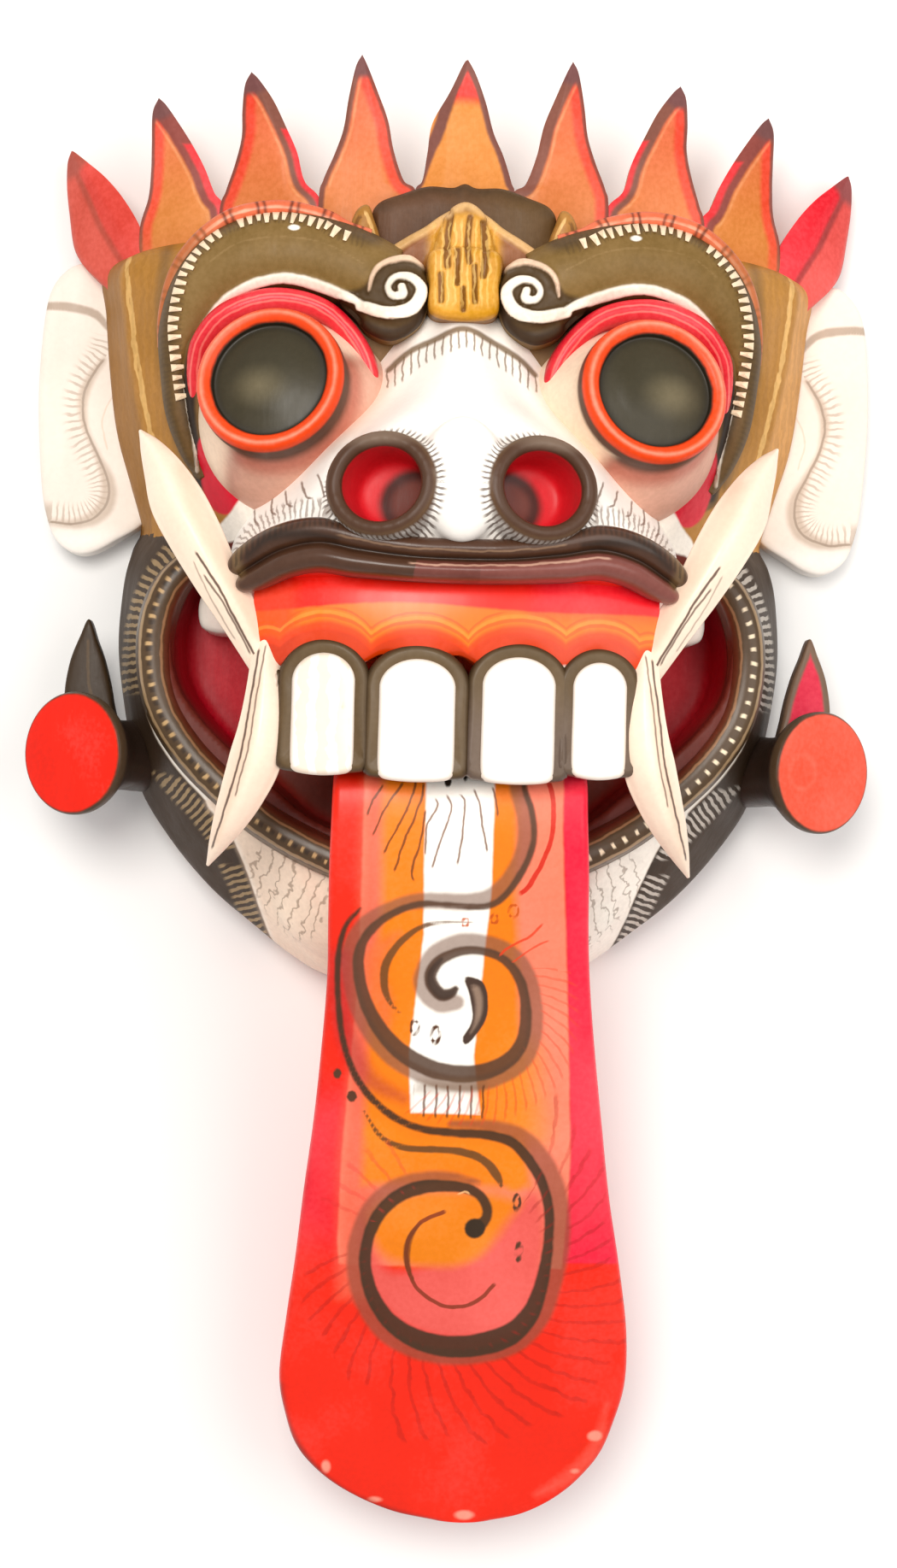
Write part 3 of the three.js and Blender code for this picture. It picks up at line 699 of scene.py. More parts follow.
def carved_base():
    cavity = [(MOUTH_FLOOR, [(x * 0.96, y) for x, y in MOUTH]), (72, MOUTH), (220, MOUTH)]
    mesh = boolean(layered("skull", SKULL), [
        (layered("jaw", JAW), "UNION"),
        (ball("chin", (0, -55, 52), (84, 44, 40)), "UNION"),
        (layered("mouth", cavity, rows=3), "DIFFERENCE"),
        (layered("hollow", HOLLOW, rows=3, count=120, smooth=False), "DIFFERENCE"),
        (layered("hollow_brow", HOLLOW_BROW, rows=3, count=96, smooth=False), "DIFFERENCE"),
        (layered("hollow_snout", HOLLOW_SNOUT, rows=2, count=80, smooth=False), "DIFFERENCE"),
    ])
    mesh = remeshed(mesh, 0.0022 if FINE == 2 else 0.0035, 3)
    obj = piece("carved_base", mesh, "face")
    p = design_xyz(mesh)
    xy = np.column_stack([np.abs(p[:, 0]), p[:, 1]])
    z = p[:, 2]
    paint = Paint("base_paint", GOLD, rough=0.5, grain=0.35)
    # gold temples: painted light on the right outer slope and painted shade on the left one, a painted
    # highlight along the ridge, and darker streaks
    ridge, _ = near(xy, [(160, 262), (161, 244), (158, 219), (155, 199), (151, 180), (146, 160),
                            (140, 136), (134, 112)])
    right = p[:, 0] > 0
    slope = np.where(xy[:, 0] > 148, z - 58, 20)
    paint.layer(np.where(right, slope, 20), tone(222, 160, 88), soft=4, amount=0.75)
    paint.layer(np.where(right, 20, slope), tone(146, 98, 38), soft=4, amount=0.7)
    paint.contour(ridge - 0.5, 1.6, tone(236, 190, 118), amount=0.65, wobble=0.8)
    paint.hatch(xy[:, 0], 4.3, 0.5, region(xy, [(142, 250), (176, 250), (172, 130), (128, 140)]),
                GOLD_DARK, amount=0.14, jitter=0.9)
    paint.layer(stroke(xy, [(141, 256), (142, 214), (138, 180), (128, 146)], 5), tone(112, 80, 32),
                soft=3.5, amount=0.75)
    # brow ground and eye hollow
    inner = region(xy, TEMPLE_IN[1:9] + [(60, 120), (0, 120), (0, 262), (90, 268), (125, 256)])
    paint.layer(inner, OLIVE, soft=0.8)
    sclera = [(120, 196), (112, 212), (88, 221), (64, 216), (50, 202), (43, 186), (47, 170),
              (60, 156), (90, 146), (110, 160)]
    paint.layer(region(xy, sclera), tone(240, 206, 178), soft=1)
    # painted shade under the brow's lower end, beside the eye
    paint.layer(stroke(xy, [(120, 140), (126, 165), (126, 186), (122, 203)], 7), INK, soft=1.4)
    # crimson corner below the eye and the white cheek beside it
    paint.layer(region(xy, [(121, 158), (108, 156), (92, 146), (96, 136), (106, 124), (116, 128),
                            (121, 142)]), CRIMSON, soft=0.8)
    paint.layer(region(xy, [(106, 124), (96, 135), (78, 143), (62, 150), (40, 170), (0, 190),
                            (0, 100),
                            (100, 92), (112, 104), (114, 116)]), WHITE, soft=0.8)
    # cheek band, black with pale hair strokes
    rim = region(xy, WHITE_RIM)
    band = np.where(xy[:, 1] < 119 - 0.25 * (150 - xy[:, 0]), -rim, 30)
    paint.layer(band, tone(48, 34, 24), soft=0.8)
    edge, length = near(xy, spline(WHITE_RIM[2:13], 60))
    y = p[:, 1]
    inward = np.maximum(edge - 12.5, band + 1.5)
    inward = np.maximum(inward, 16 - z)
    upper = np.maximum(inward, np.maximum(y - 112, 40 - y))
    lower = np.maximum(inward, np.maximum(y + 2 - 0.2 * (xy[:, 0] - 120), -34 - y))
    end = np.maximum(inward, y + 42)
    for shown, pale in ((right, tone(244, 234, 222)), (~right, tone(196, 166, 122))):
        for zone in (upper, lower, end):
            paint.hatch(length, 3.5, 0.42, np.where(shown, zone, 20), pale, amount=0.9, jitter=0.35,
                        soft=1.4)
    paint.layer(np.maximum(band, 18 - z), tone(70, 50, 30), soft=8, amount=0.4)
    # white rim and chin
    chin = np.maximum(region(xy, CHIN_EDGE), -z + 4)
    white_rim = np.maximum(rim, -z + 30)
    white_rim = np.where(xy[:, 1] < 116, white_rim, 30)
    paint.layer(white_rim, WHITE, soft=0.7)
    paint.layer(chin, WHITE, soft=0.8)
    chin_u = xy[:, 0] + 0.35 * (p[:, 1] + 60)
    side_tone = np.where(right, 20, chin)
    paint.layer(side_tone, tone(236, 208, 182), soft=3, amount=0.75)
    beard = region(xy, [(60, -34), (88, -32), (96, -42), (88, -62), (70, -78), (56, -64)])
    paint.hatch(chin_u, 6.8, 0.12, np.maximum(beard, -z + 30), tone(112, 84, 60), amount=0.55,
                jitter=1.0, soft=3)
    # inside of the mouth: painted shade inside the lip and round the mouth's rim, a brighter crimson
    # in its middle, and darker brown towards its lower side
    inside_lip = region(xy, [(s[0], s[1]) for s in LOWER_LIP] + [(0, 112), (100, 112)])
    paint.layer(np.where(z > 36, inside_lip, 30), tone(104, 40, 30), soft=0.8)
    mouth = np.where((z < 70) & (z > 36), region(xy, MOUTH) + 1.0, 30)
    paint.layer(mouth, tone(168, 20, 36), soft=2.0)
    paint.layer(np.where(z < 70, mouth + 12, 30), tone(206, 24, 44), soft=7)
    low = np.maximum(mouth, p[:, 1] - 4 + 0.5 * (xy[:, 0] - 90))
    paint.layer(low, tone(116, 48, 32), soft=7)
    # plain wood inside the hollow back
    back = np.where(z < 1.2, -3, np.where((region(xy, HOLLOW_RIM, False) < 1) & (z < 37.5), -3, 3))
    deep = (z < 140) & (xy[:, 0] < 148)
    normal = np.empty(len(mesh.vertices) * 3)
    mesh.vertices.foreach_get("normal", normal)
    facing = normal.reshape(-1, 3)[:, 2]
    back = np.where(deep & (facing < -0.1), -3, back)
    paint.layer(back, tone(150, 108, 66), soft=0.6)
    paint.apply(obj)


# ------------------------------------------------------------------ shared builders
def hollowed(mesh):
    return boolean(mesh, [
        (layered("hollow", HOLLOW, rows=3, count=120, smooth=False), "DIFFERENCE"),
        (layered("hollow_brow", HOLLOW_BROW, rows=3, count=96, smooth=False), "DIFFERENCE"),
        (layered("hollow_snout", HOLLOW_SNOUT, rows=2, count=80, smooth=False), "DIFFERENCE"),
    ])


def carve(mesh, displacement):
    """Raises (or sinks) the front of a dense mesh, mm."""
    v = np.empty(len(mesh.vertices) * 3)
    mesh.vertices.foreach_get("co", v)
    n = np.empty(len(mesh.vertices) * 3)
    mesh.vertices.foreach_get("normal", n)
    v = v.reshape(-1, 3)
    n = n.reshape(-1, 3)
    v += n * (displacement * MM * (n[:, 2] > 0.05))[:, None]
    mesh.vertices.foreach_set("co", v.ravel())
    mesh.update()


def ladder(left, right, count, across, front, thick, bulge=1.6):
    """Slab between two side curves that meet at a tip; front(x, y) is its face height."""
    a, b = spline(left, count), spline(right, count)
    t = np.linspace(-1, 1, across)
    rings = []
    for p, q in zip(a, b):
        mid, half = (p + q) / 2, (q - p) / 2
        width = np.linalg.norm(half)
        flat = mid + t[:, None] * half
        lift = min(width / 12, 1) * np.interp(t, [-1, -0.93, -0.5, -0.36, 0.3, 0.9, 1],
                                              [-1.8, -1.2, 1.5, bulge, 1.0, 0.7, -0.4])
        z = np.array([front(x) for x in flat[:, 0]]) - 1.0 + lift
        top = np.column_stack([flat, z])
        low = top[::-1].copy()
        low[:, 2] = [front(x) - thick for x in low[:, 0]]
        rings.append(np.vstack([top, low]))
    return np.array(rings)


def slab(outline, stations, front=None, count=96, smooth=True):
    """Solid between heights; stations are (inset, height), inset in mm toward the middle."""
    ring = spline(outline, count, closed=True) if smooth else np.asarray(outline, float)
    centre = (ring.max(0) + ring.min(0)) / 2
    reach = np.linalg.norm(ring - centre, axis=1)
    rings = []
    for inset, z in stations:
        scale = np.clip(1 - inset / np.maximum(reach, 1e-3), 0.02, None)
        flat = centre + (ring - centre) * scale[:, None]
        lift = np.array([front(x) for x in flat[:, 0]]) if front else 0
        rings.append(np.column_stack([flat, np.full(len(flat), float(z)) + lift]))
    return np.array(rings)


def plateau(low, high, reach, step=2.0, round_edge=1.4, rise=0.4):
    """Stations of a slab with a soft edge and a densely ringed top."""
    stations = [(0, low), (0, (low + high) / 2), (0, high - round_edge),
                (0.3, high - 0.5 * round_edge),
                (round_edge, high)]
    inset = round_edge + step
    while inset < reach:
        stations.append((inset, high + rise * min(1, inset / (4 * round_edge))))
        inset += step
    return stations


def surface_of(mesh):
    """Height of the front of a mesh above a point of the plan, mm."""
    p = design_xyz(mesh)
    tree = BVHTree.FromPolygons(p.tolist(), [tuple(f.vertices) for f in mesh.polygons])

    def height(x, y, otherwise):
        hit = tree.ray_cast(Vector((x, y, 400)), Vector((0, 0, -1)))[0]
        return hit.z if hit is not None and hit.z > otherwise - 30 else otherwise
    return height


def local_frame(mesh, out_tilt, up_tilt, place, side=1):
    """Vertex positions in the turned piece's own axes."""
    p = design_xyz(mesh) * np.array([side, 1, 1]) - np.asarray(place, float)
    cu, su = math.cos(-up_tilt), math.sin(-up_tilt)
    co, so = math.cos(out_tilt), math.sin(out_tilt)
    rx = np.array([[1, 0, 0], [0, cu, -su], [0, su, cu]])
    ry = np.array([[co, 0, so], [0, 1, 0], [-so, 0, co]])
    return p @ (ry @ rx)


def plan(mesh):
    p = design_xyz(mesh)
    return p, np.column_stack([np.abs(p[:, 0]), p[:, 1]])


SIDES = ((1, "right"), (-1, "left"))


def sided(rings, side):
    return rings if side > 0 else rings * np.array([-1, 1, 1])


# ------------------------------------------------------------------ brow
BROW = [(34, 230, 112, 17), (50, 236, 112, 19), (68, 242, 110, 20), (88, 243, 108, 20),
        (107, 238, 104, 19), (121, 226, 98, 16), (130, 209, 92, 12), (132, 190, 88, 9),
        (130, 171, 86, 8), (125, 154, 84, 6), (119, 141, 84, 3)]
ROPE = [(44, 252), (55, 255), (65, 260), (85, 264), (105, 261), (119, 253), (130, 242), (136, 230),
        (139, 215), (139, 202), (136, 180), (133, 164), (126, 146), (119, 140)]
ROPE_Z = [113, 115, 115, 113, 111, 108, 102, 97, 93, 90, 88, 86, 85, 84]
WHITE_LINE = [(47, 217.5), (48, 219), (64, 226), (83, 230), (103, 225), (116, 215), (125, 199),
              (128, 183), (125, 164), (122, 144)]
SPIRAL = [(47.2, 217.5), (35.7, 214.3), (26.4, 215.4), (21.4, 219.4), (19.6, 226.1), (24.8, 231.1),
          (31.5, 230.9), (34.9, 226.4), (32.8, 222.2), (28.1, 222.7), (28.6, 226.3)]


def brow_section(w, u):
    h = 8 + 0.52 * w
    corners = [(-w, -22), (0, -22), (w, -22), (w, -8), (w, 2), (0.72 * w, 0.72 * h), (0.1 * w, h),
               (-0.6 * w, 0.8 * h), (-w, 3), (-w, -8)]
    return dome(corners, 72)


ARC = [(43.5, 224), (42, 231), (37.9, 236.2), (29.7, 239.8), (22.6, 239.2), (16.3, 235.2)]
LOBE = [(58, 222), (49.8, 213), (43, 206), (32.3, 202.8), (21.1, 209), (16.6, 218), (15.4, 227),
        (18, 235), (24, 239), (33, 239), (41, 234), (46, 226)]


def brows():
    for side, label in SIDES:
        boss = turned(lathe([(0, -22), (13, -22), (16, -20), (16.5, 0), (14, 3.4), (8, 4.4),
                             (0, 4.6)],
                            64, 40), 0, 0.15, (32, 226, 124))
        lobe = slab([(x * side, y) for x, y in LOBE], [(0, 100), (0, 121), (1, 124), (4, 126),
                                                        (10, 126.6)], None, 96)
        mesh = boolean(ring_mesh("brow", sided(sweep(BROW, 150, brow_section), side)), [
            (ring_mesh("boss", sided(boss, side)), "UNION"), (ring_mesh("lobe", lobe), "UNION")])
        mesh = hollowed(remeshed(mesh, 0.0011 if FINE == 2 else 0.0024, 3))
        _, xy = plan(mesh)
        width = [2.2, 3.4, 4.4, 4.2, 3.8, 3.4, 3.0, 2.4, 2.0, 1.6]
        spiral = stroke(xy, SPIRAL, [4.6, 5.2, 5.8, 5.6, 5, 3.8, 3, 2.6, 3.2, 4, 3.4])
        white = np.minimum(stroke(xy, WHITE_LINE, width), spiral)
        arc = stroke(xy, ARC, [1.0, 2.0, 2.4, 2.8, 3, 2])
        trench = stroke(xy, [(50, 212), (64, 220), (83, 224), (103, 219), (119, 207), (127, 193),
                             (129, 173), (123, 148)], [6, 5, 5, 5, 5, 5, 5, 4])
        raised = 1.2 * smoothstep(0.8, -0.8, np.minimum(white, arc))
        sunk = 0.9 * smoothstep(2.4, -0.6, trench) + 0.9 * smoothstep(6.5, 1.2,
                                                                      np.abs(spiral - 2.2) + 1)
        carve(mesh, raised - np.where(np.minimum(white, arc) > 0.4, sunk, 0))
        obj = piece(f"brow_{label}", mesh, "face", 50)
        paint = Paint(f"brow_paint_{label}", tone(126, 98, 52), rough=0.52, grain=0.36, mottle=0.2,
                      seed=side).on(mesh)
        dark = tone(70, 50, 26)
        edge, length = near(xy, spline(ROPE, 80))
        # painted shade beside the rope, under the fringe of small teeth
        paint.layer(edge - 6.5, dark, soft=3.5, amount=0.7)
        paint.hatch(length, 2.6, 0.4, edge - 9, dark, amount=0.3, jitter=0.8)
        # painted shade in the sunk groove under the white line
        paint.layer(trench, tone(62, 44, 22), soft=1.6, amount=0.9)
        paint.fill(LOBE, dark, soft=1.2, both=True, amount=0.9)
        paint.brush([(58, 219), (49.8, 211), (42, 205.5), (32.3, 204), (22, 209.5), (18, 218)],
                    [5, 7, 8, 7, 5, 3], tone(58, 40, 22), both=True, soft=1.2)
        paint.layer(white, tone(252, 240, 224), soft=0.5)
        paint.layer(arc, tone(240, 206, 178), soft=0.6, amount=0.9)
        paint.contour(near(xy, spline([(46, 236), (64, 245), (84, 248), (104, 245), (117, 237)],
                                      40))[0],
                      0.8, tone(158, 128, 84), amount=0.35)
        paint.blobs([(78.5, 252.5, 2.6, 1.5)], 2, WHITE, both=True, soft=0.4)
        paint.brush([(134, 186), (130, 166), (124, 150), (120, 141)], [3, 4, 4, 3], OLIVE, soft=2,
                    amount=0.7, both=True)
        paint.apply(obj)
        height = surface_of(mesh)
        rope = sweep([(x, y, z, 3.3) for (x, y), z in zip(ROPE[:10], ROPE_Z)], 160,
                     lambda w, u: dome([(-w, -w), (w, -w), (w, w * 0.5), (0, w),
                                        (-w, w * 0.5)], 14))
        mesh = ring_mesh("rope", sided(rope, side))
        obj = piece(f"brow_rope_{label}", mesh, "face")
        p, xy = plan(mesh)
        paint = Paint(f"rope_paint_{label}", tone(222, 112, 78), rough=0.4, seed=side + 3).on(mesh)
        edge, length = near(xy, spline(ROPE, 80))
        paint.contour(edge - 0.3, 0.8, tone(252, 190, 158), amount=0.6)
        paint.hatch(length, 15.5, 0.06, edge - 9, tone(96, 40, 22), amount=0.85, jitter=0.12)
        paint.hatch(length + 3.4, 15.5, 0.05, edge - 9, tone(96, 40, 22), amount=0.75, jitter=0.12)
        paint.layer(80 - length, tone(170, 104, 56), soft=14, amount=0.7)
        paint.apply(obj)
        fringe(side, label, height)


def fringe(side, label, height):
    """Row of small pointed teeth under the rope."""
    line = spline([(x, y, z) for (x, y), z in zip(ROPE[:12], ROPE_Z)], 400)
    step = np.sqrt((np.diff(line[:, :2], axis=0) ** 2).sum(1))
    length = np.concatenate([[0], np.cumsum(step)])
    parts = []
    for k, at in enumerate(np.arange(9, length[-1] - 10, 4.5)):
        if 66 < at < 76:
            continue
        i = int(np.searchsorted(length, at))
        here = line[i]
        along = line[min(i + 4, 399)] - line[max(i - 4, 0)]
        along = along[:2] / np.linalg.norm(along[:2])
        inward = np.array([along[1], -along[0]])
        reach = 5.4 + 0.9 * math.sin(k * 2.3)
        root = here[:2] + inward * 2.6
        tip = root + inward * reach
        half = 1.55 + 0.2 * math.sin(k * 1.7)
        z0 = max(height(side * root[0], root[1], here[2]), here[2]) + 1.0
        z1 = height(side * tip[0], tip[1], here[2]) + 1.0
        v = [(*(root - along * half), z0), (*(root + along * half), z0),
             (*(tip + along * half * 0.5), z1), (*(tip - along * half * 0.5), z1),
             (*(root - along * half), z0 - 6), (*(root + along * half), z0 - 6),
             (*(tip + along * half * 0.5), z1 - 5), (*(tip - along * half * 0.5), z1 - 5),
             (*((root + tip) / 2), (z0 + z1) / 2 + 1.2)]
        v = np.array(v) * np.array([side, 1, 1])
        f = [(0, 1, 8), (1, 2, 8), (2, 3, 8), (3, 0, 8), (4, 5, 6, 7), (0, 1, 5, 4), (1, 2, 6, 5),
             (2, 3, 7, 6), (3, 0, 4, 7)]
        parts.append((v, f))
    obj = piece(f"brow_fringe_{label}", merge("fringe", parts), "face", 40)
    Paint(f"fringe_paint_{label}", tone(246, 222, 190), rough=0.45, mottle=0.1,
          seed=side + 7).apply(obj)


# ------------------------------------------------------------------ eyes
EYE = (87.5, 180, 150)
EYE_PROFILE = [(0, -60), (24, -60), (47, -60), (47, -50), (44, -38), (39, -27), (34.6, -16),
               (34.4, -8), (34, -3), (32.8, -0.6), (31, 0.2), (28.6, -0.4), (26.6, -2.4),
               (25.6, -4.4), (20, -3.2), (14, -1.6), (7, -0.6), (0, -0.3)]
LID = [(124, 176, 96, 2.5), (123.5, 190, 104, 4), (120, 202, 110, 5), (108, 214, 116, 5.6),
       (87, 220.5, 119, 5.4), (65, 216.5, 120, 5), (50, 203, 120, 4.8), (42.5, 187, 119, 4.6),
       (44.5, 172, 118, 4), (49, 163, 118, 2.4)]


def eyes():
    for side, label in SIDES:
        rings = turned(lathe(EYE_PROFILE, 96, 110), 0.24, 0.22, EYE)
        mesh = hollowed(ring_mesh("eye", sided(rings, side)))
        obj = piece(f"eye_{label}", mesh, "face", 60)
        q = local_frame(mesh, 0.24, 0.22, EYE, side)
        r = np.hypot(q[:, 0], q[:, 1])
        paint = Paint(f"eye_paint_{label}", tone(240, 72, 22), rough=0.44, coat=0.08, grain=0.2,
                      seed=side + 8).on(mesh)
        deep = -q[:, 2]
        # painted shadow on the eye's wall close behind the ring
        paint.layer(4.6 - deep, tone(84, 50, 32), soft=1.2)
        upper = -(q[:, 1] + 12 - 0.9 * q[:, 0] * side)
        cream = np.maximum(11 - deep, upper * 0.35)
        paint.layer(cream, tone(246, 220, 194), soft=2.2)
        under = np.maximum(15 - deep, -upper * 0.35)
        paint.layer(under, tone(206, 128, 108), soft=4, amount=0.9)
        paint.layer(np.maximum(24 - deep, -upper * 0.35), tone(226, 178, 156), soft=5, amount=0.8)
        # painted highlight round the crest of the ring
        paint.layer(np.abs(r - 31.2) - 0.5, tone(255, 178, 150), soft=1.5, amount=0.7)
        paint.layer(np.maximum(r - 27.2, deep - 6), tone(34, 27, 17), soft=0.7)
        # painted reflection on the glossy disc: lighter in its middle, with a soft lighter patch
        paint.layer(np.maximum(r - 24.6, deep - 6), tone(56, 50, 32), soft=3)
        disc_reflection = ellipse(q[:, :2], 7, -3, 9, 7) if side > 0 else ellipse(q[:, :2], 4, -4, 8, 6)
        paint.layer(disc_reflection, tone(124, 112, 84), soft=7, amount=0.6)
        paint.apply(obj)
        lid = sweep(LID, 90, lambda w, u: dome([(-w, -14), (w, -14), (w, 0), (w * 0.7, 4.6),
                                                (0, 6.4),
                                                (-w * 0.7, 4.6), (-w, 0)], 30))
        mesh = hollowed(ring_mesh("lid", sided(lid, side)))
        obj = piece(f"eyelid_{label}", mesh, "face", 60)
        _, xy = plan(mesh)
        paint = Paint(f"lid_paint_{label}", tone(222, 44, 56), rough=0.36, coat=0.15,
                      seed=side + 9).on(mesh)
        outer = stroke(xy, [(s[0], s[1]) for s in LID], 0.1)
        paint.contour(outer - 1.5, 0.9, tone(250, 140, 128), amount=0.55)
        paint.apply(obj)


# ------------------------------------------------------------------ snout
SNOUT = [(218, 118, 9, 110, 16, 30), (196, 132, 13, 118, 27, 44), (176, 150, 18, 128, 38, 56),
         (160, 168, 30, 138, 52, 68), (146, 180, 42, 150, 60, 82), (128, 186, 50, 152, 70, 96),
         (110, 177, 58, 148, 84, 104), (98, 168, 70, 145, 91, 104), (90, 163, 74, 144, 91, 98)]
NOSTRIL = (34.8, 129.5, 181)
RIM_PROFILE = [(16.6, -16), (25, -16), (25.6, -6), (25.6, 0.6), (24.6, 3.4), (22, 4.8), (19.6, 4.4),
               (17.8, 1.4), (16.6, -6), (16.6, -16)]


def squashed(rings):
    return rings * np.array([1, 0.93, 1])


def torus_rings(profile, segments, rows):
    """Closed ring about +Z from a closed profile."""
    p = spline(profile[:-1], rows, closed=True)
    a = np.linspace(0, 2 * math.pi, segments, endpoint=False)
    rings = np.empty((segments, rows, 3))
    rings[:, :, 0] = p[None, :, 0] * np.cos(a)[:, None]
    rings[:, :, 1] = p[None, :, 0] * np.sin(a)[:, None]
    rings[:, :, 2] = p[None, :, 1]
    return rings


def loop_mesh(name, rings):
    rows, count, _ = rings.shape
    faces = []
    for r in range(rows):
        for i in range(count):
            j, s = (i + 1) % count, (r + 1) % rows
            faces.append((r * count + i, r * count + j, s * count + j, s * count + i))
    return mesh_from(name, rings.reshape(-1, 3), faces)


def snout():
    s = spline(SNOUT, 70)
    rings = []
    for y, z, w, side_z, side_w, foot in s:
        half = [(0, z), (0.5 * w, z - 1), (w, z - 6), ((w + side_w) / 2, (z - 6 + side_z) / 2 - 1),
                (side_w, side_z), (foot, 96), (foot + 0.5, 60), (foot, 38)]
        left = [(-a, b) for a, b in half[:0:-1]]
        curve = spline(left + half, 90)
        rings.append(np.column_stack([curve[:, 0], np.full(90, y), curve[:, 1]]))
    mesh = boolean(ring_mesh("snout", np.array(rings)),
                   [(ball("nose", (0, 133, 179), (19, 28, 15)), "UNION")])
    mesh = remeshed(mesh, 0.0016 if FINE == 2 else 0.0024, 14)
    tools = []
    for side, _ in SIDES:
        rim = turned(squashed(torus_rings(RIM_PROFILE, 72, 28)), 0.28, 0.12, NOSTRIL)
        tools.append((loop_mesh("rim", sided(rim, side)), "UNION"))
    mesh = boolean(mesh, tools)
    mesh = remeshed(mesh, 0.0013 if FINE == 2 else 0.0024, 3)
    cuts = []
    for side, _ in SIDES:
        bore = turned(squashed(lathe([(0, -22), (9, -22), (15, -20.5), (17, -16), (17.8, -6),
                                      (18, 1), (19, 6), (21, 12), (0, 12)], 64, 60)), 0.28, 0.12,
                      NOSTRIL)
        cuts.append((ring_mesh("bore", sided(bore, side)), "DIFFERENCE"))
    mesh = hollowed(boolean(mesh, cuts))
    obj = piece("snout", mesh, "face", 55)
    p, xy = plan(mesh)
    paint = Paint("snout_paint", tone(254, 249, 242), rough=0.42, grain=0.22, mottle=0.04,
                  seed=11).on(mesh, False)
    q = local_frame(mesh, 0.28, 0.12, NOSTRIL, 1)
    m = local_frame(mesh, 0.28, 0.12, NOSTRIL, -1)
    q = np.where(p[:, :1] > 0, q, m)
    q[:, 1] /= 0.93
    r = np.hypot(q[:, 0], q[:, 1])
    angle = np.arctan2(q[:, 1], q[:, 0])
    # painted shade: soft cream down the snout's sides, more of it on the left
    cream_shade = tone(240, 208, 182)
    paint.layer(stroke(xy, [(40, 186), (52, 160), (80, 145), (108, 128)], [10, 12, 12, 10]), cream_shade,
                soft=7, amount=0.55)
    paint.layer(stroke(p[:, :2], [(-30, 196), (-36, 176), (-48, 162)], 10), cream_shade, soft=9,
                amount=0.5)
    cheek = tone(110, 78, 56)
    for points in ([(94, 125.4), (93.4, 119), (91, 116)], [(85.6, 129.5), (85, 122), (82.6, 119.4)],
                   [(79, 131.5), (77.6, 124.5), (74.6, 122)],
                   [(71.5, 134.5), (69, 127), (66, 124.6)],
                   [(64, 136.5), (61.6, 130), (60, 125)]):
        paint.line(points, 1.0, cheek, amount=0.8, both=True, wobble=0.5)
    edge, length = near(xy, spline([(101, 102), (97, 112), (88, 117.5), (76, 120.5), (60, 120)],
                                   50))
    paint.hatch(length, 2.7, 0.34, edge - 4.6, cheek, amount=0.6, jitter=0.7, soft=1.6)
    frown = [(-33.5, 190), (-24.2, 198.6), (-12.9, 204), (0.4, 209), (14, 204), (27.6, 196),
             (34, 190)]
    arch, length = near(p[:, :2], spline(frown, 60))
    below = p[:, 1] < np.interp(p[:, 0], [f[0] for f in frown], [f[1] for f in frown])
    paint.hatch(p[:, 0], 3.6, 0.2, np.where(below, arch - 9.5, 20), tone(120, 96, 70), amount=0.75,
                jitter=0.35)
    paint.layer(arch - 1.5, tone(126, 104, 76), soft=0.9, amount=0.9)
    rim = tone(76, 50, 34)
    paint.hatch(angle * 26, 2.6, 0.34, np.maximum(r - 29.5, 24 - r), rim, amount=0.8, jitter=0.5,
                soft=1.8)
    paint.layer(r - 25.6, rim, soft=0.9)
    paint.layer(ellipse(q[:, :2], 4, 22, 16, 4), tone(132, 112, 96), soft=3.5, amount=0.65)
    paint.layer(np.abs(r - 24.6) - 0.3, tone(120, 92, 60), soft=1.2, amount=0.5)
    hole = np.maximum(r - 18.4, q[:, 2] - 1.0)
    paint.layer(hole, tone(216, 30, 40), soft=0.9)
    core = np.hypot(q[:, 0] + 8.6, q[:, 1] + 3)
    paint.layer(np.maximum(core - 16, q[:, 2] - 0.2), tone(70, 28, 20), soft=2.6)
    paint.layer(np.maximum(core - 10.5, q[:, 2] + 4), tone(112, 54, 42), soft=2.4, amount=0.85)
    paint.layer(np.maximum(p[:, 1] - 94.5, 110 - p[:, 2]), tone(236, 30, 14), soft=0.8)
    paint.apply(obj)


# ------------------------------------------------------------------ mouth
LIP_HALF = [(0, 98, 172, 9), (22, 98.5, 172, 9), (44, 101, 170, 10), (62, 104, 166, 11),
            (78, 101, 160, 11), (92, 94, 151, 10), (100, 89, 143, 6)]


def lip_section(w, u):
    """Two rolls side by side, the upper one standing higher."""
    end = smoothstep(0, 0.06, min(u, 1 - u))
    t = np.linspace(1, -1, 41)
    lobes = np.sqrt(np.maximum(0, 1 - ((np.abs(t) - 0.5) / 0.5) ** 2))
    high = np.where(t > 0, 8.6, 6.8) * (0.55 + 0.45 * end)
    top = np.maximum(lobes * high, 3.0 * (1 - np.abs(t)))
    return np.vstack([[(w, -22), (w, -8)], np.column_stack([t * w, top]), [(-w, -8), (-w, -22)]])


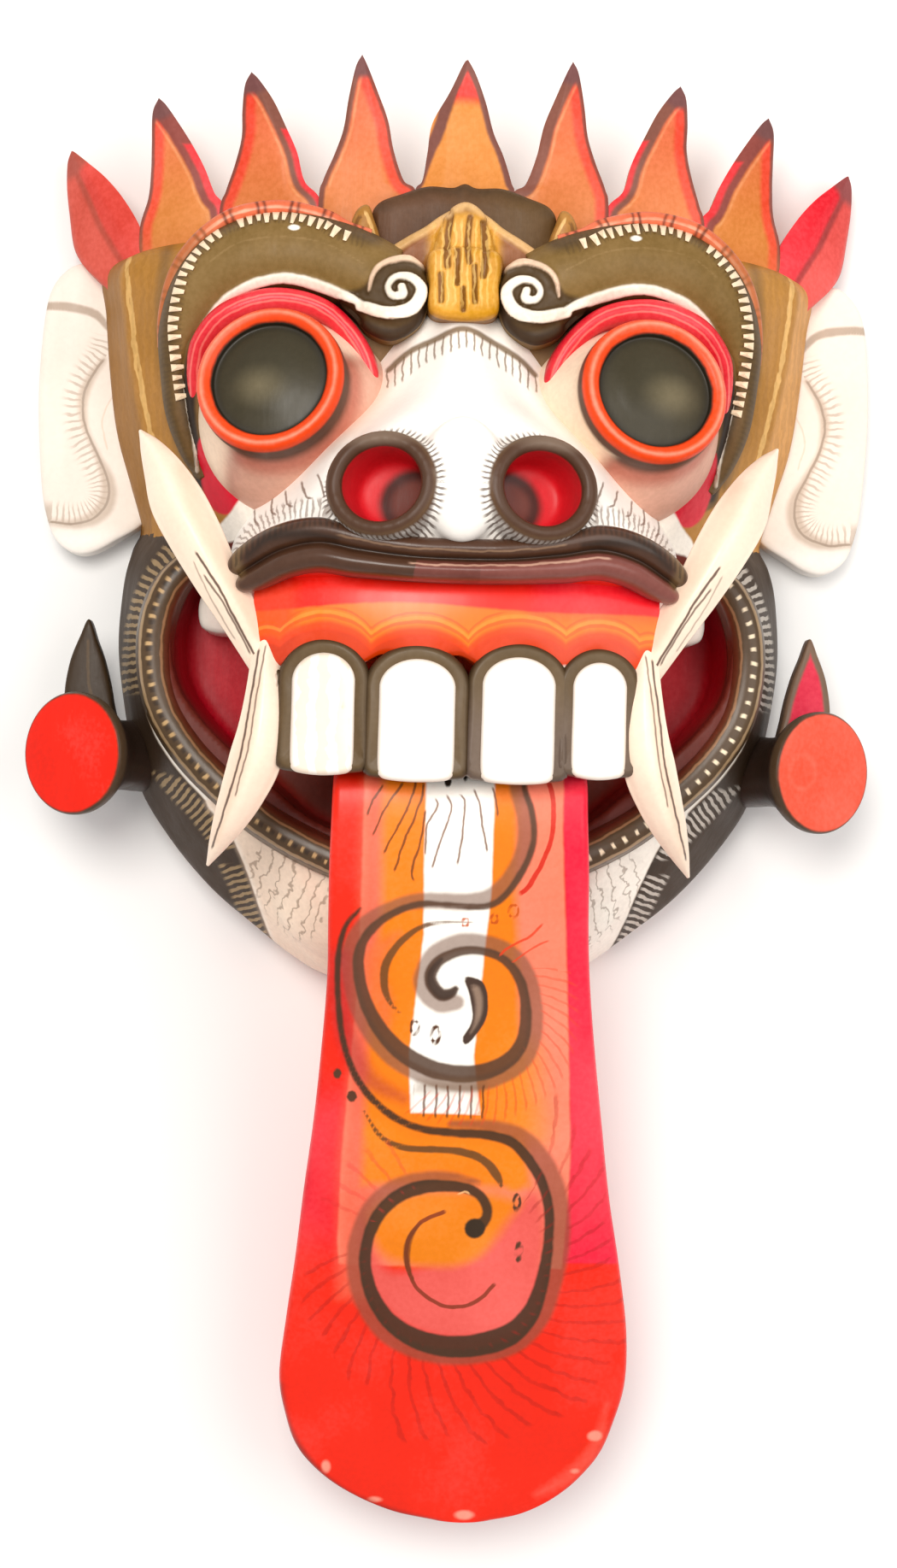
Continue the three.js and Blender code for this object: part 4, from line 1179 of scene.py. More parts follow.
def upper_lip():
    left = [(-x, y, z, w) for x, y, z, w in LIP_HALF[:0:-1]]
    path = [(x, y, z + 2.5, w * 1.08) for x, y, z, w in left + LIP_HALF]
    mesh = ring_mesh("lip", sweep(path, 220, lip_section))
    obj = piece("upper_lip", mesh, "face", 60)
    paint = Paint("lip_paint", tone(74, 46, 30), rough=0.34, coat=0.3, grain=0.3, mottle=0.14,
                  seed=12).on(mesh)
    p = design_xyz(mesh)
    line = spline([(s[0], s[1]) for s in left + LIP_HALF], 120)
    across = p[:, 1] - np.interp(p[:, 0], line[:, 0], line[:, 1])
    scale = np.interp(np.abs(p[:, 0]), [s[0] for s in LIP_HALF], [s[3] for s in LIP_HALF])
    t = across / scale
    lower = np.where(t < -0.08, (t + 0.1) * 8, 6)
    paint.layer(lower + np.where(p[:, 0] > -20, 0, 8), tone(116, 60, 52), soft=2,
                amount=0.85)
    paint.layer(np.where(p[:, 0] > 8, lower, 20), tone(140, 78, 70), soft=4, amount=0.35)
    # painted shade in the groove between the two rolls
    paint.layer(np.abs(t - 0.03) * 9 - 0.5, tone(34, 22, 15), soft=1.0, amount=0.9)
    # painted highlights along the lower roll and the upper roll
    paint.contour((t + 0.3) * 9, 0.9, tone(206, 164, 142), gate=np.abs(p[:, 0] - 22) - 44,
                  amount=0.7,
                  wobble=0.5)
    paint.contour((t - 0.42) * 9, 0.8, tone(168, 134, 104), gate=np.abs(p[:, 0] + 4) - 50,
                  amount=0.4,
                  wobble=0.5)
    paint.layer(stroke(xy_abs(p), [(97, 91), (99, 99), (92, 109), (80, 114)], 4), tone(116, 92, 60),
                soft=2.4, amount=0.8)
    paint.hatch(p[:, 0], 2.5, 0.45, np.maximum((0.66 - t) * 9, 52 - np.abs(p[:, 0])),
                tone(38, 26, 16),
                amount=0.5, jitter=0.6)
    paint.layer(stroke(xy_abs(p), [(94, 98), (84, 106), (70, 108), (54, 106)], [2, 4, 4, 2]),
                tone(30, 20, 12), soft=2, amount=0.75)
    paint.apply(obj)


def xy_abs(p):
    return np.column_stack([np.abs(p[:, 0]), p[:, 1]])


def gum_front(x):
    return 166 - 0.0022 * x * x


def gum():
    rings = []
    for x in np.linspace(-91, 91, 240):
        z = gum_front(x)
        low = 54 + 3 * math.cos(x / 31 * 2 * math.pi)
        curve = spline([(92, z - 1), (84, z + 0.9), (76, z + 1.5), (66, z + 1.2),
                        (low + 3, z - 0.2),
                        (low, z - 2.5)], 26)
        ring = [(x, 92, 38), *[(x, y, h) for y, h in curve], (x, low + 2, 38)]
        rings.append(ring)
    mesh = hollowed(ring_mesh("gum", np.array(rings)))
    obj = piece("gum", mesh, "face", 50)
    paint = Paint("gum_paint", ORANGE, rough=0.36, coat=0.3, grain=0.14, mottle=0.06, seed=13)
    paint.on(mesh)
    p = design_xyz(mesh)
    x, y = p[:, 0], p[:, 1]
    scallop = np.full(len(p), 46.0)
    for left, right, top, _ in TEETH + SIDE_TEETH:
        half = max((right - left) / 2 + 9.5, 8)
        t = np.clip(1 - ((x - (left + right) / 2) / half) ** 2, 0, None)
        scallop = np.maximum(scallop, top - 8 + 18.5 * np.sqrt(t))
    paint.layer(y - scallop - 3.4, tone(244, 70, 10), soft=1.6)
    upper = 76.5 + 2.2 * np.cos(x / 52) - 1.2 * np.sin(x / 20)
    paint.layer(upper - y, tone(246, 26, 6), soft=0.9)
    paint.layer(np.maximum(upper - y, 34 - x), tone(240, 22, 44), soft=8, amount=0.7)
    paint.layer(np.maximum(x + 72, y - 86), tone(222, 66, 34), soft=5, amount=0.7)
    for lift, width in ((5.6, 1.5), (9.6, 1.1)):
        paint.contour(y - scallop - lift, width, tone(226, 84, 12), gate=y - upper + 1, amount=0.7,
                      wobble=0.4)
    paint.contour(y - scallop - 7.4, 1.6, tone(252, 160, 60), gate=y - upper + 1, amount=0.4)
    paint.layer(y - scallop - 0.2, tone(150, 40, 16), soft=1.2, amount=0.4)
    paint.blobs([(-39.5, 49, 2.4, 4), (5.7, 48, 3, 4), (48.2, 50, 2.4, 4), (-76, 48, 2, 4)], 2,
                WHITE,
                soft=0.6)
    paint.apply(obj)


TEETH = [(-73, -44.5, 57, 3), (-34, 0, 55, 1), (11.5, 44.5, 57, 1), (52, 77, 56, 4)]
SIDE_TEETH = [(-90, -79, 50, 9), (83, 91, 50, 10)]


def tooth_outline(left, right, top, bottom, grow=0):
    w = (right - left) / 2 + grow
    cx = (right + left) / 2
    top += grow
    rise = min(w * 0.95, 13 + grow)
    arch = [(cx + w * math.cos(a), top - rise + rise * math.sin(a))
            for a in np.linspace(0, math.pi, 25)]
    foot = [(cx - w, top - rise - 8), (cx - w, bottom + 6), (cx - w + 1.5, bottom + 1.5),
            (cx - w + 6, bottom), (cx, bottom - 0.6), (cx + w - 6, bottom),
            (cx + w - 1.5, bottom + 1.5), (cx + w, bottom + 6), (cx + w, top - rise - 8)]
    return arch + foot


def teeth():
    for i, (left, right, top, bottom) in enumerate(TEETH + SIDE_TEETH):
        side = i >= len(TEETH)
        margin = 2 if side else 6.5
        sink = -1.8 if side else 0
        back = slab(tooth_outline(left, right, top, bottom + (0 if side else 1), margin),
                    [(0, -18), (0, -9), (0, -1.6 + sink), (0.6, 0.4 + sink), (1.8, 1.6 + sink),
                     (3.4, 2.1 + sink), (6, 1.2 + sink), (20, 0.6 + sink)], gum_front, 160)
        mesh = ring_mesh("arch", back)
        obj = piece(f"tooth_arch_{i + 1}", mesh, "face", 50)
        paint = Paint(f"arch_paint_{i + 1}", tone(96, 76, 50), rough=0.4, grain=0.2, mottle=0.14,
                      seed=20 + i).on(mesh)
        rim = region(paint.xy, tooth_outline(left, right, top, bottom, margin), False)
        paint.layer(-(rim + 1.8), tone(58, 42, 26), soft=1.6, amount=0.85)
        if i > 1:
            paint.layer(paint.xy[:, 1] - 34, tone(104, 88, 80), soft=14, amount=0.6)
        paint.apply(obj)
        lift = -1.4 if side else 0
        front = slab(tooth_outline(left, right, top, bottom),
                     [(0, -16), (0, -6), (0, 0.6 + lift), (0.5, 1.8 + lift), (1.6, 2.6 + lift),
                      (3, 2.9 + lift), (6, 3.1 + lift), (9, 3.2 + lift), (12, 3.2 + lift),
                      (24, 3.2 + lift)], gum_front, 160)
        mesh = ring_mesh("tooth", front)
        obj = piece(f"tooth_{i + 1}", mesh, "face", 60)
        base = tone(196, 174, 158) if side else tone(254, 250, 245)
        paint = Paint(f"tooth_paint_{i + 1}", base, rough=0.34, coat=0.3, grain=0.14,
                      mottle=0.03, seed=30 + i).on(mesh)
        if i == 0:
            paint.hatch(paint.xy[:, 0], 9, 0.5, region(paint.xy, tooth_outline(left, right, top,
                        bottom)), tone(240, 216, 188), amount=0.6, soft=1.5, jitter=0.5)
            paint.blobs([(-49, 33, 1.1, 1.9)], 1, tone(206, 160, 128), soft=0.7)
        paint.layer(-(region(paint.xy, tooth_outline(left, right, top, bottom), False) + 1.3),
                    tone(214, 190, 168), soft=1.5, amount=0.6)
        paint.apply(obj)


MOLARS = [(101, 90, 98, 84), (108, 80, 92, 78), (116, 71, 88, 72)]
LOWER_LIP = [(112, 108, 78, 6), (128, 99, 80, 7), (138, 84, 80, 8), (142, 62, 79, 8),
             (138, 36, 79, 8), (125, 14, 80, 8), (106, -5, 82, 8), (84, -22, 85, 8),
             (56, -36, 89, 8), (28, -44, 92, 8), (0, -46, 93, 8)]


def lower_lip():
    left = [(-x, y, z, w) for x, y, z, w in LOWER_LIP[-2::-1]]
    path = LOWER_LIP + left
    mesh = ring_mesh("lip", sweep(path, 320, lambda w, u: dome(
        [(-w, -9), (w, -9), (w, -2), (w * 0.8, 2.6), (w * 0.3, 4.8), (-w * 0.3, 4.8),
         (-w * 0.8, 2.6),
         (-w, -2)], 30)))
    obj = piece("lower_lip", mesh, "face", 60)
    paint = Paint("lower_lip_paint", tone(80, 60, 38), rough=0.36, coat=0.2, grain=0.22,
                  mottle=0.14,
                  seed=14).on(mesh)
    p = design_xyz(mesh)
    centre = spline([(s[0], s[1]) for s in path], 400)
    d, length = near(p[:, :2], centre)
    inner = region(p[:, :2], [(s[0], s[1]) for s in path] + [(0, 118)], True) < 0
    signed = np.where(inner, -d, d)
    paint.layer(signed + 5.2, tone(104, 48, 34), soft=1.6, amount=0.85)
    paint.contour(signed + 4.0, 1.1, tone(166, 124, 88), amount=0.7, wobble=0.4)
    paint.contour(signed - 6.2, 1.4, tone(176, 146, 110), amount=0.7, wobble=0.4)
    pale = tone(250, 232, 200)
    gate = np.where(np.abs(p[:, 0]) < 56, 20, np.abs(signed - 1.8) - 1.3)
    paint.hatch(length, 6.3, 0.24, np.where(p[:, 0] > 0, gate, 20), pale, amount=0.95, jitter=0.2,
                soft=0.8)
    paint.hatch(length, 6.3, 0.22, np.where(p[:, 0] < 0, gate, 20), tone(206, 170, 118),
                amount=0.85,
                jitter=0.2, soft=0.9)
    paint.hatch(length + 2.5, 6.3, 0.26, np.where(p[:, 0] < 0, gate, 20), tone(40, 26, 16),
                amount=0.7,
                jitter=0.2, soft=0.9)
    paint.apply(obj)
    for side, label in SIDES:
        for k, (x, low, high, z) in enumerate(MOLARS):
            ring = [(side * (x - 12), low), (side * (x + 4), low + 1), (side * (x + 4), high),
                    (side * (x - 12), high + 1)]
            mesh = ring_mesh("molar", slab(ring, [(0, 36), (0, z - 5), (0.6, z - 1.5), (2.4, z),
                                                  (6, z + 0.4)], None, 40))
            obj = piece(f"molar_{label}_{k + 1}", mesh, "face", 50)
            Paint(f"molar_paint_{label}_{k + 1}", WHITE, rough=0.36, grain=0.15, mottle=0.05,
                  seed=40 + k).apply(obj)


# ------------------------------------------------------------------ crown
FLAMES = [
    [(-24, 232), (-24, 276), (-20, 285), (-18, 298), (-16, 312), (-8, 327), (-2, 340), (0, 342),
     (4, 335), (9, 322), (13, 308), (18, 297), (22, 285), (24, 276), (24, 232)],
    [(22, 232), (22, 276), (29, 285), (34, 299), (37, 313), (42, 326), (47, 338), (50, 344),
     (53, 338), (56, 323), (58, 309), (62, 297), (67, 285), (69, 275), (69, 232)],
    [(66, 232), (67, 272), (76, 285), (80, 299), (86, 312), (92, 324), (99, 334), (103, 338),
     (106, 332), (107, 320), (107, 307), (110, 294), (114, 282), (117, 271), (117, 232)],
    [(112, 232), (114, 271), (120, 282), (125, 294), (131, 305), (138, 316), (145, 326), (149, 330),
     (152, 323), (152, 308), (152, 295), (153, 282), (157, 268), (157, 250), (157, 230)],
    [(140, 228), (153, 254), (157, 268), (166, 283), (176, 295), (186, 304), (193, 310), (195, 311),
     (197, 305), (197, 293), (195, 278), (192, 262), (186, 252), (174, 240), (165, 226)],
]


def crown_front(x):
    return 92 - 300 + math.sqrt(300 ** 2 - x * x)


def flames():
    for i, outline in enumerate(FLAMES):
        inner, outer = outline[:8], outline[7:][::-1]
        for side, label in (SIDES if i else ((1, "middle"),)):
            rings = ladder(inner, outer, 70, 30, crown_front, 15)
            mesh = ring_mesh("flame", sided(rings, side))
            name = f"flame_{label}" if i == 0 else f"flame_{label}_{i}"
            obj = piece(name, mesh, "face", 40)
            flame_paint(obj, mesh, name, i, side, inner, outer)


def flame_paint(obj, mesh, name, i, side, inner, outer):
    face = (tone(222, 140, 66), tone(212, 124, 66), tone(220, 128, 74), tone(214, 132, 66),
            tone(226, 84, 78))[i]
    paint = Paint(f"{name}_paint", face, rough=0.44, grain=0.34, mottle=0.14, seed=50 + i * side)
    paint.on(mesh)
    near_in, _ = near(paint.fold, spline(inner, 60))
    near_out, _ = near(paint.fold, spline(outer, 60))
    tip = np.array(outer[-1], float)
    to_tip = np.hypot(*(paint.fold - tip).T)
    x, y = paint.fold.T
    away = paint.away
    dark = tone(124, 76, 66)
    red = tone(236, 74, 60)
    if i == 0:
        paint.layer(322 - y + away, tone(246, 60, 52), soft=3.5)
        paint.layer(np.maximum(near_out - 8, y - 276) + away, tone(232, 92, 50), soft=4, amount=0.8)
        paint.layer(near_in - 3.4 + away, dark, soft=0.9)
        paint.layer(near_out - 3.0 + away, dark, soft=0.9)
        return paint.apply(obj)
    if i == 4:
        middle = spline([((a[0] + b[0]) / 2, (a[1] + b[1]) / 2) for a, b in zip(inner, outer)], 60)
        mid, _ = near(paint.fold, middle)
        half = np.minimum(near_in - near_out, 20)
        paint.layer(half + away, tone(232, 52, 62), soft=0.8)
        paint.layer(mid - 1.5 + away, tone(150, 50, 50), soft=1.2, amount=0.85)
        paint.layer(to_tip - 15 + 0.4 * near_out + away, tone(150, 70, 70), soft=3)
        if side < 0:
            paint.layer(245 + 18 - y - 0.2 * x + away, tone(190, 84, 56), soft=16, amount=0.5)
        return paint.apply(obj)
    swap = i == 1 and side < 0
    wide, thin = (near_out, near_in) if swap else (near_in, near_out)
    paint.layer(300 - y + away, tone(228, 104, 76), soft=34, amount=0.75)
    paint.layer(np.maximum(thin - 6.5, 270 - y - 60) + away, red, soft=1.6, amount=0.85)
    width = (0, 5.2, 5.6, 7.4)[i]
    if swap:
        width = 2.6
    paint.layer(wide - width + away, tone(132, 80, 66) if i < 3 else tone(140, 70, 62), soft=0.9)
    if i >= 2:
        low = np.maximum(wide - (2.6 if i == 2 else 3.6), np.maximum(y - 318 + 4 * i, 262 - y))
        paint.layer(low + away, tone(228, 66, 70), soft=1.0)
    # painted highlight along the ridge beside the dark border
    paint.layer(np.abs(wide - width - 1.2) - 0.3 + away, tone(246, 190, 140), soft=0.9, amount=0.45)
    paint.layer(thin - 1.8 + away, tone(120, 70, 58), soft=0.8, amount=0.9)
    paint.layer(to_tip - 11 + away, tone(116, 72, 70), soft=2.2)
    paint.layer(y - 262 + away, tone(200, 120, 62), soft=12, amount=0.4)
    paint.apply(obj)


CAP_HALF = [(0, 238), (36, 242), (43, 262), (41, 271), (30, 276), (18, 280), (6, 280), (0, 282)]
CREST_HALF = [(0, 268), (10, 263), (18, 257), (28, 251), (38, 243), (24, 238), (0, 238)]
BLOCK = [(-15, 244), (-16, 228), (-15, 215), (0, 212), (15, 215), (16, 228), (15, 244)]
HORN = [(38, 240), (39, 252), (42, 261), (45, 268), (50, 266), (53, 258), (53, 248), (50, 240)]


def forehead():
    cap = [(x, y) for x, y in CAP_HALF] + [(-x, y) for x, y in CAP_HALF[-2:0:-1]]
    mesh = ring_mesh("cap", slab(cap, [(0, 74), (0, 96), (0.8, 99.5), (3, 101), (14, 101.5)], None,
                                 160))
    obj = piece("cap", mesh, "face", 50)
    paint = Paint("cap_paint", tone(92, 66, 34), rough=0.5, grain=0.5, mottle=0.2, seed=60).on(mesh)
    paint.layer(paint.xy[:, 0] - 4, tone(96, 60, 44), soft=30, amount=0.6)
    paint.brush([(-38, 268), (-20, 276), (0, 278), (20, 276), (38, 268)], 4, tone(62, 44, 24),
                soft=3,
                amount=0.7)
    paint.apply(obj)
    gable()
    for side, label in SIDES:
        ring = [(x * side, y) for x, y in HORN]
        mesh = ring_mesh("horn", slab(ring, [(0, 86), (0, 107), (0.8, 110.5), (3, 112), (7, 112.6)],
                                      None, 120))
        obj = piece(f"horn_{label}", mesh, "face", 50)
        paint = Paint(f"horn_paint_{label}", tone(176, 124, 62), rough=0.42, grain=0.5, mottle=0.2,
                      seed=63 + side).on(mesh)
        # a painted highlight along the inner edge and a darker line along the outer edge
        paint.line([(41, 246), (43, 256), (46.5, 264)], 1.6, tone(240, 196, 130), amount=0.8,
                   both=True)
        paint.line([(50, 244), (51, 254), (49, 262)], 1.6, tone(120, 80, 40), amount=0.8, both=True)
        paint.apply(obj)


def gable():
    """Carved crest over the nose, running down into the gold block between the brows."""
    crest = [(x, y) for x, y in CREST_HALF] + [(-x, y) for x, y in CREST_HALF[-2:0:-1]]
    low = slab(crest, [(0, 82), (0, 110), (1, 113), (3, 114.4), (8, 115), (16, 115.5)], None, 160)
    block = slab(BLOCK, [(0, 92), (0, 126), (0.8, 129.5), (3, 131.4), (8, 132)], None, 160)
    bridge = [(-7, 263), (0, 267), (7, 263), (12, 254), (15.5, 240), (15.5, 228), (-15.5, 228),
              (-15.5, 240), (-12, 254)]
    ramp = slab(bridge, [(0, 92), (0, 119), (1, 122), (4, 124.5), (9, 125.5)], None, 120)
    mesh = boolean(ring_mesh("crest", low), [(ring_mesh("block", block), "UNION"),
                                             (ring_mesh("bridge", ramp), "UNION")])
    mesh = remeshed(mesh, 0.0009 if FINE == 2 else 0.002, 9)
    p, xy = plan(mesh)
    x, y = p[:, 0], p[:, 1]
    cuts = np.zeros(len(p))
    for line, width in (([(-7, 262), (-8.5, 248), (-8, 236)], 2.4),
                        ([(2, 260), (1, 246), (2, 238)], 2.0),
                        ([(8.5, 258), (9.5, 244), (8.6, 232)], 2.6),
                        ([(-3.6, 244), (-3.2, 228)], 1.8),
                        ([(4.4, 236), (5, 220)], 1.8), ([(-11, 232), (-10.4, 220)], 1.8),
                        ([(-0.6, 226), (-0.2, 216)], 1.6)):
        cuts = np.maximum(cuts, smoothstep(1.0, -0.9, stroke(p[:, :2], line, width)))
    ridge = stroke(xy, [(0, 266), (10, 261.5), (18, 255.5), (28, 249), (36, 243)], 4)
    carve(mesh, 1.3 * smoothstep(1.2, -1.2, ridge) - 1.4 * cuts)
    obj = piece("crest", mesh, "face", 60)
    paint = Paint("crest_paint", tone(150, 104, 52), rough=0.42, grain=0.5, mottle=0.2, seed=61)
    paint.on(mesh)
    paint.layer(np.maximum(np.abs(x) - 17, y - 262) + paint.away, tone(206, 146, 48), soft=2.5)
    paint.layer(np.maximum(np.abs(x) - 15, y - 232) + paint.away, tone(222, 160, 52), soft=6,
                amount=0.8)
    paint.layer(np.maximum(18 - np.abs(x), y - 252) + paint.away, tone(146, 88, 56), soft=3,
                amount=0.8)
    paint.layer(0.5 - cuts * 2.2, tone(112, 68, 22), soft=0.7, amount=0.9, wobble=0.2)
    # painted highlights: a pale line along the crest's ridge and pale strokes on the gold block
    paint.layer(ridge + paint.away, tone(226, 182, 122), soft=1.0, amount=0.75)
    paint.hatch(x, 3.1, 0.3, np.maximum(np.abs(x) - 14, np.abs(y - 238) - 20) + paint.away,
                tone(246, 204, 118), amount=0.4, jitter=0.8, soft=2)
    paint.apply(obj)


# ------------------------------------------------------------------ tusks
UPPER_TUSK = [(86, 52, 142, 7), (97, 72, 148, 9), (108, 90, 150, 10.5), (118, 108, 149, 12),
              (127, 124, 145, 12), (134, 138, 138, 9), (141, 150, 130, 5), (146.5, 158, 122, 0.8)]
LOWER_TUSK = [(85, 62, 146, 6), (85, 42, 150, 8), (86, 24, 151, 10), (88.5, 9, 149, 11.5),
              (94, -6, 145, 10), (100, -19, 139, 7.5), (106, -31, 131, 4), (110.5, -40, 122, 0.8)]


def tusk_section(w, u):
    return dome([(-w, -1), (-0.5 * w, -0.6 * w - 0.5), (0, -0.75 * w), (0.5 * w, -0.6 * w - 0.5),
                 (w, -1), (0.9 * w, 0.12 * w), (0.55 * w, 0.48 * w), (0, 0.78 * w),
                 (-0.55 * w, 0.48 * w), (-0.9 * w, 0.12 * w)], 40)


def tusks():
    for side, label in SIDES:
        for kind, path in (("upper", UPPER_TUSK), ("lower", LOWER_TUSK)):
            mesh = ring_mesh("tusk", sided(sweep(path, 110, tusk_section), side))
            obj = piece(f"tusk_{kind}_{label}_carved", mesh, f"tusk_{kind}_{label}",
                        70)
            paint = Paint(f"tusk_{kind}_{label}_paint", IVORY, rough=0.36, coat=0.2, grain=0.16,
                          mottle=0.06, seed=70 + side + (2 if kind == "upper" else 0))
            paint.on(mesh)
            # painted shade: a cream band down each tusk, on its shaded facet
            cream_shade = tone(232, 192, 164)
            ink = tone(70, 40, 26)
            if kind == "upper":
                paint.brush([(90, 66), (104, 92), (117, 116), (126, 138)], [5, 7, 8, 5], cream_shade,
                            soft=4,
                            amount=0.45, both=True)
                paint.line([(117, 100), (106, 84), (95, 64), (88, 52)], 1.1, ink, amount=0.9,
                           both=True)
                paint.line([(113, 90), (103, 76), (92, 56)], 0.9, ink, amount=0.8, both=True)
                paint.line([(118, 96), (110, 80), (99, 62)], 0.7, ink, amount=0.5, both=True)
            else:
                paint.brush([(88, 44), (93, 14), (100, -10), (106, -28)], [3, 5, 5, 3], cream_shade,
                            soft=3,
                            amount=0.5, both=True)
                paint.line([(88, 58), (91, 36), (95, 10), (102, -14), (108, -32)], 1.0, ink,
                           amount=0.9, both=True)
                paint.line([(85, 60), (88, 40), (91.5, 14), (97, -8)], 0.8, ink, amount=0.75,
                           both=True)
            paint.apply(obj)


# ------------------------------------------------------------------ ears
EAR = [(160, 252), (186, 255), (197, 250), (204, 238), (207, 215), (208, 185), (206, 150),
       (203, 130),
       (197, 116), (185, 110), (170, 116), (150, 134), (150, 180), (150, 240)]


def ears():
    for side, label in SIDES:
        ring = [(x * side, y) for x, y in EAR]
        mesh = ring_mesh("ear", slab(ring, plateau(6, 20, 78, 2.2), None, 220))
        clear = boolean(mesh, [(layered("skull", SKULL), "DIFFERENCE"),
                               (layered("jaw", JAW), "DIFFERENCE")])
        obj = piece(f"ear_{label}_carved", clear, f"ear_{label}", 50)
        paint = Paint(f"ear_{label}_paint", tone(252, 244, 236), rough=0.45, grain=0.22,
                      mottle=0.05,
                      seed=80 + side).on(clear)
        grey = tone(132, 108, 88)
        pale = tone(226, 204, 184)
        curl = [(170, 226), (173, 214), (176, 207), (182.8, 196.7), (185.9, 185.9), (184.3, 173.2),
                (177.5, 158.5), (172.1, 145.8), (172.7, 135.1), (178.9, 128.1), (189.4, 124.8),
                (201, 125.6)]
        band = [(205, 233.1), (192.2, 232.6), (180.7, 229.6), (173.7, 222.6)]
        edge, length = near(paint.fold, spline(curl, 100))
        outer = np.where(region(paint.fold, curl + [(212, 124), (212, 230)], True) < 0, edge, 30)
        paint.hatch(length, 3.2, 0.3, np.maximum(outer - 9, 10 - length) + paint.away, grey,
                    amount=0.6,
                    jitter=0.5, soft=3)
        paint.brush([(183, 196), (186, 186), (184.5, 173)], [1, 3, 1], pale, soft=3, both=True)
        paint.brush(curl[2:], [2.5, 4.5, 4, 2.5, 3.5, 7, 8, 7, 4.5, 2.5], tone(160, 138, 118),
                    soft=1.8,
                    amount=0.75, both=True)
        paint.line(curl[2:], 1.2, tone(92, 70, 52), amount=0.9, both=True)
        paint.brush(band, [4, 4.4, 4, 3], grey, soft=0.8, amount=0.9, both=True)
        paint.line([(166, 214), (168, 196), (176, 178), (173, 162)], 0.8, pale, amount=0.7,
                   both=True)
        paint.layer(116 + 5 - paint.fold[:, 1] * 1 + paint.away, pale, soft=5, amount=0.4)
        paint.apply(obj)


PLUG = (180, 10, 75)
LEAF = [(163, 16), (184, 16), (188, 36), (186, 54), (181, 68), (177, 76), (173, 66), (169, 55),
        (165, 38)]


def plugs():
    for side, label in SIDES:
        node = f"ear_plug_{label}"
        profile = [(0, -62), (9, -62), (17, -61.6), (17.6, -50), (17, -38), (18, -28), (21, -20),
                   (25.5, -12), (28.8, -6), (29.4, -2.4), (28.8, -0.4), (26.6, 0.4), (14, 0.9),
                   (0, 1.1)]
        rings = turned(lathe(profile, 88, 90), 0.56, 0, PLUG)
        mesh = boolean(ring_mesh("plug", sided(rings, side)), [
            (layered("skull", SKULL), "DIFFERENCE"), (layered("jaw", JAW), "DIFFERENCE")])
        obj = piece(f"plug_{label}", mesh, node, 60)
        q = local_frame(mesh, 0.56, 0, PLUG, side)
        r = np.hypot(q[:, 0], q[:, 1])
        paint = Paint(f"plug_{label}_paint", tone(52, 38, 30), rough=0.4, grain=0.3, seed=90 + side)
        face = np.maximum(-q[:, 2] - 2.6, r - 28.2)
        paint.layer(face, tone(240, 34, 12) if side < 0 else tone(240, 92, 70), soft=0.7)
        arc = np.hypot(q[:, 0] + 14, q[:, 1])
        paint.layer(np.maximum(face, np.abs(arc - 8) - 0.2), tone(206, 20, 8) if side < 0 else
                    tone(250, 150, 128), soft=2.4, amount=0.3)
        paint.layer(np.maximum(np.maximum(-face, -q[:, 2] - 6), r - 40), tone(92, 74, 50), soft=1.5,
                    amount=0.5)
        paint.apply(obj)
        ring = [(x * side, y) for x, y in LEAF]
        mesh = ring_mesh("leaf", slab(ring, plateau(34.4, 46, 36, 2.0, 1.6), None, 120))
        mesh = boolean(mesh, [(layered("skull", SKULL), "DIFFERENCE"),
                              (layered("jaw", JAW), "DIFFERENCE")])
        obj = piece(f"leaf_{label}", mesh, node, 50)
        rim = tone(112, 88, 70) if side > 0 else tone(60, 44, 28)
        paint = Paint(f"leaf_{label}_paint", rim, rough=0.42, grain=0.3, seed=95 + side).on(mesh)
        if side > 0:
            inside = region(paint.fold, LEAF)
            paint.layer(inside + 3.4 + paint.away, tone(212, 28, 62), soft=0.9)
        else:
            paint.line([(169, 24), (176, 44), (177, 66)], 1.4, tone(98, 74, 44), amount=0.6,
                       both=True)
        paint.apply(obj)


# ------------------------------------------------------------------ tongue
TONGUE = [(4, 44, 46, 40), (4, 38, 70, 46), (4, 30, 94, 52), (4, 18, 122, 56), (4, 4, 140, 57.5),
          (4, -14, 144, 58), (4.5, -40, 140, 59), (5, -66, 133, 59.5), (6, -92, 125, 60.5),
          (7, -125, 116, 63.5), (8, -160, 106, 67.5), (8.5, -194, 97, 72), (10, -228, 88, 77),
          (10.5, -260, 80, 81.5), (9.5, -286, 74, 83), (9, -306, 70, 79), (9, -322, 67, 73),
          (10, -335, 65, 62), (12, -345, 63.5, 48), (14, -352, 62.5, 32), (15.5, -356, 62, 13)]


def tongue():
    rows = 320 if FINE == 2 else 160
    across = 96 if FINE == 2 else 48
    s = spline(TONGUE, rows)
    along = np.gradient(s[:, 1:3], axis=0)
    along /= np.linalg.norm(along, axis=1)[:, None]
    up = np.column_stack([-along[:, 1], along[:, 0]])
    up *= np.where(up[:, 1] < 0, -1, 1)[:, None]
    edge = [(0.97, -13), (1.0, -9), (1.0, -3), (0.985, -0.8)]
    t = np.linspace(0.955, -0.955, across)
    top = np.column_stack([t, 2.6 * (1 - t ** 2) + 0.2 * (1 - t ** 8)])
    under = [(a, -15.0 + 0.6 * a * a) for a in np.linspace(-0.92, 0.92, 20)]
    section = np.vstack([edge, top, [(-a, b) for a, b in edge[::-1]], under])
    rings = []
    for (cx, y, z, half), (uy, uz) in zip(s, up):
        rings.append(np.column_stack([cx + section[:, 0] * half, y + section[:, 1] * uy,
                                      z + section[:, 1] * uz]))
    mesh = ring_mesh("tongue", np.array(rings))
    obj = piece("tongue_carved", mesh, "tongue", 60)
    paint = Paint("tongue_paint", tone(236, 38, 14), rough=0.42, coat=0.1, grain=0.24, mottle=0.07,
                  seed=100).on(mesh)
    tongue_columns(paint)
    upper_swirl(paint)
    lower_swirl(paint)
    tongue_hairs(paint)
    paint.apply(obj)


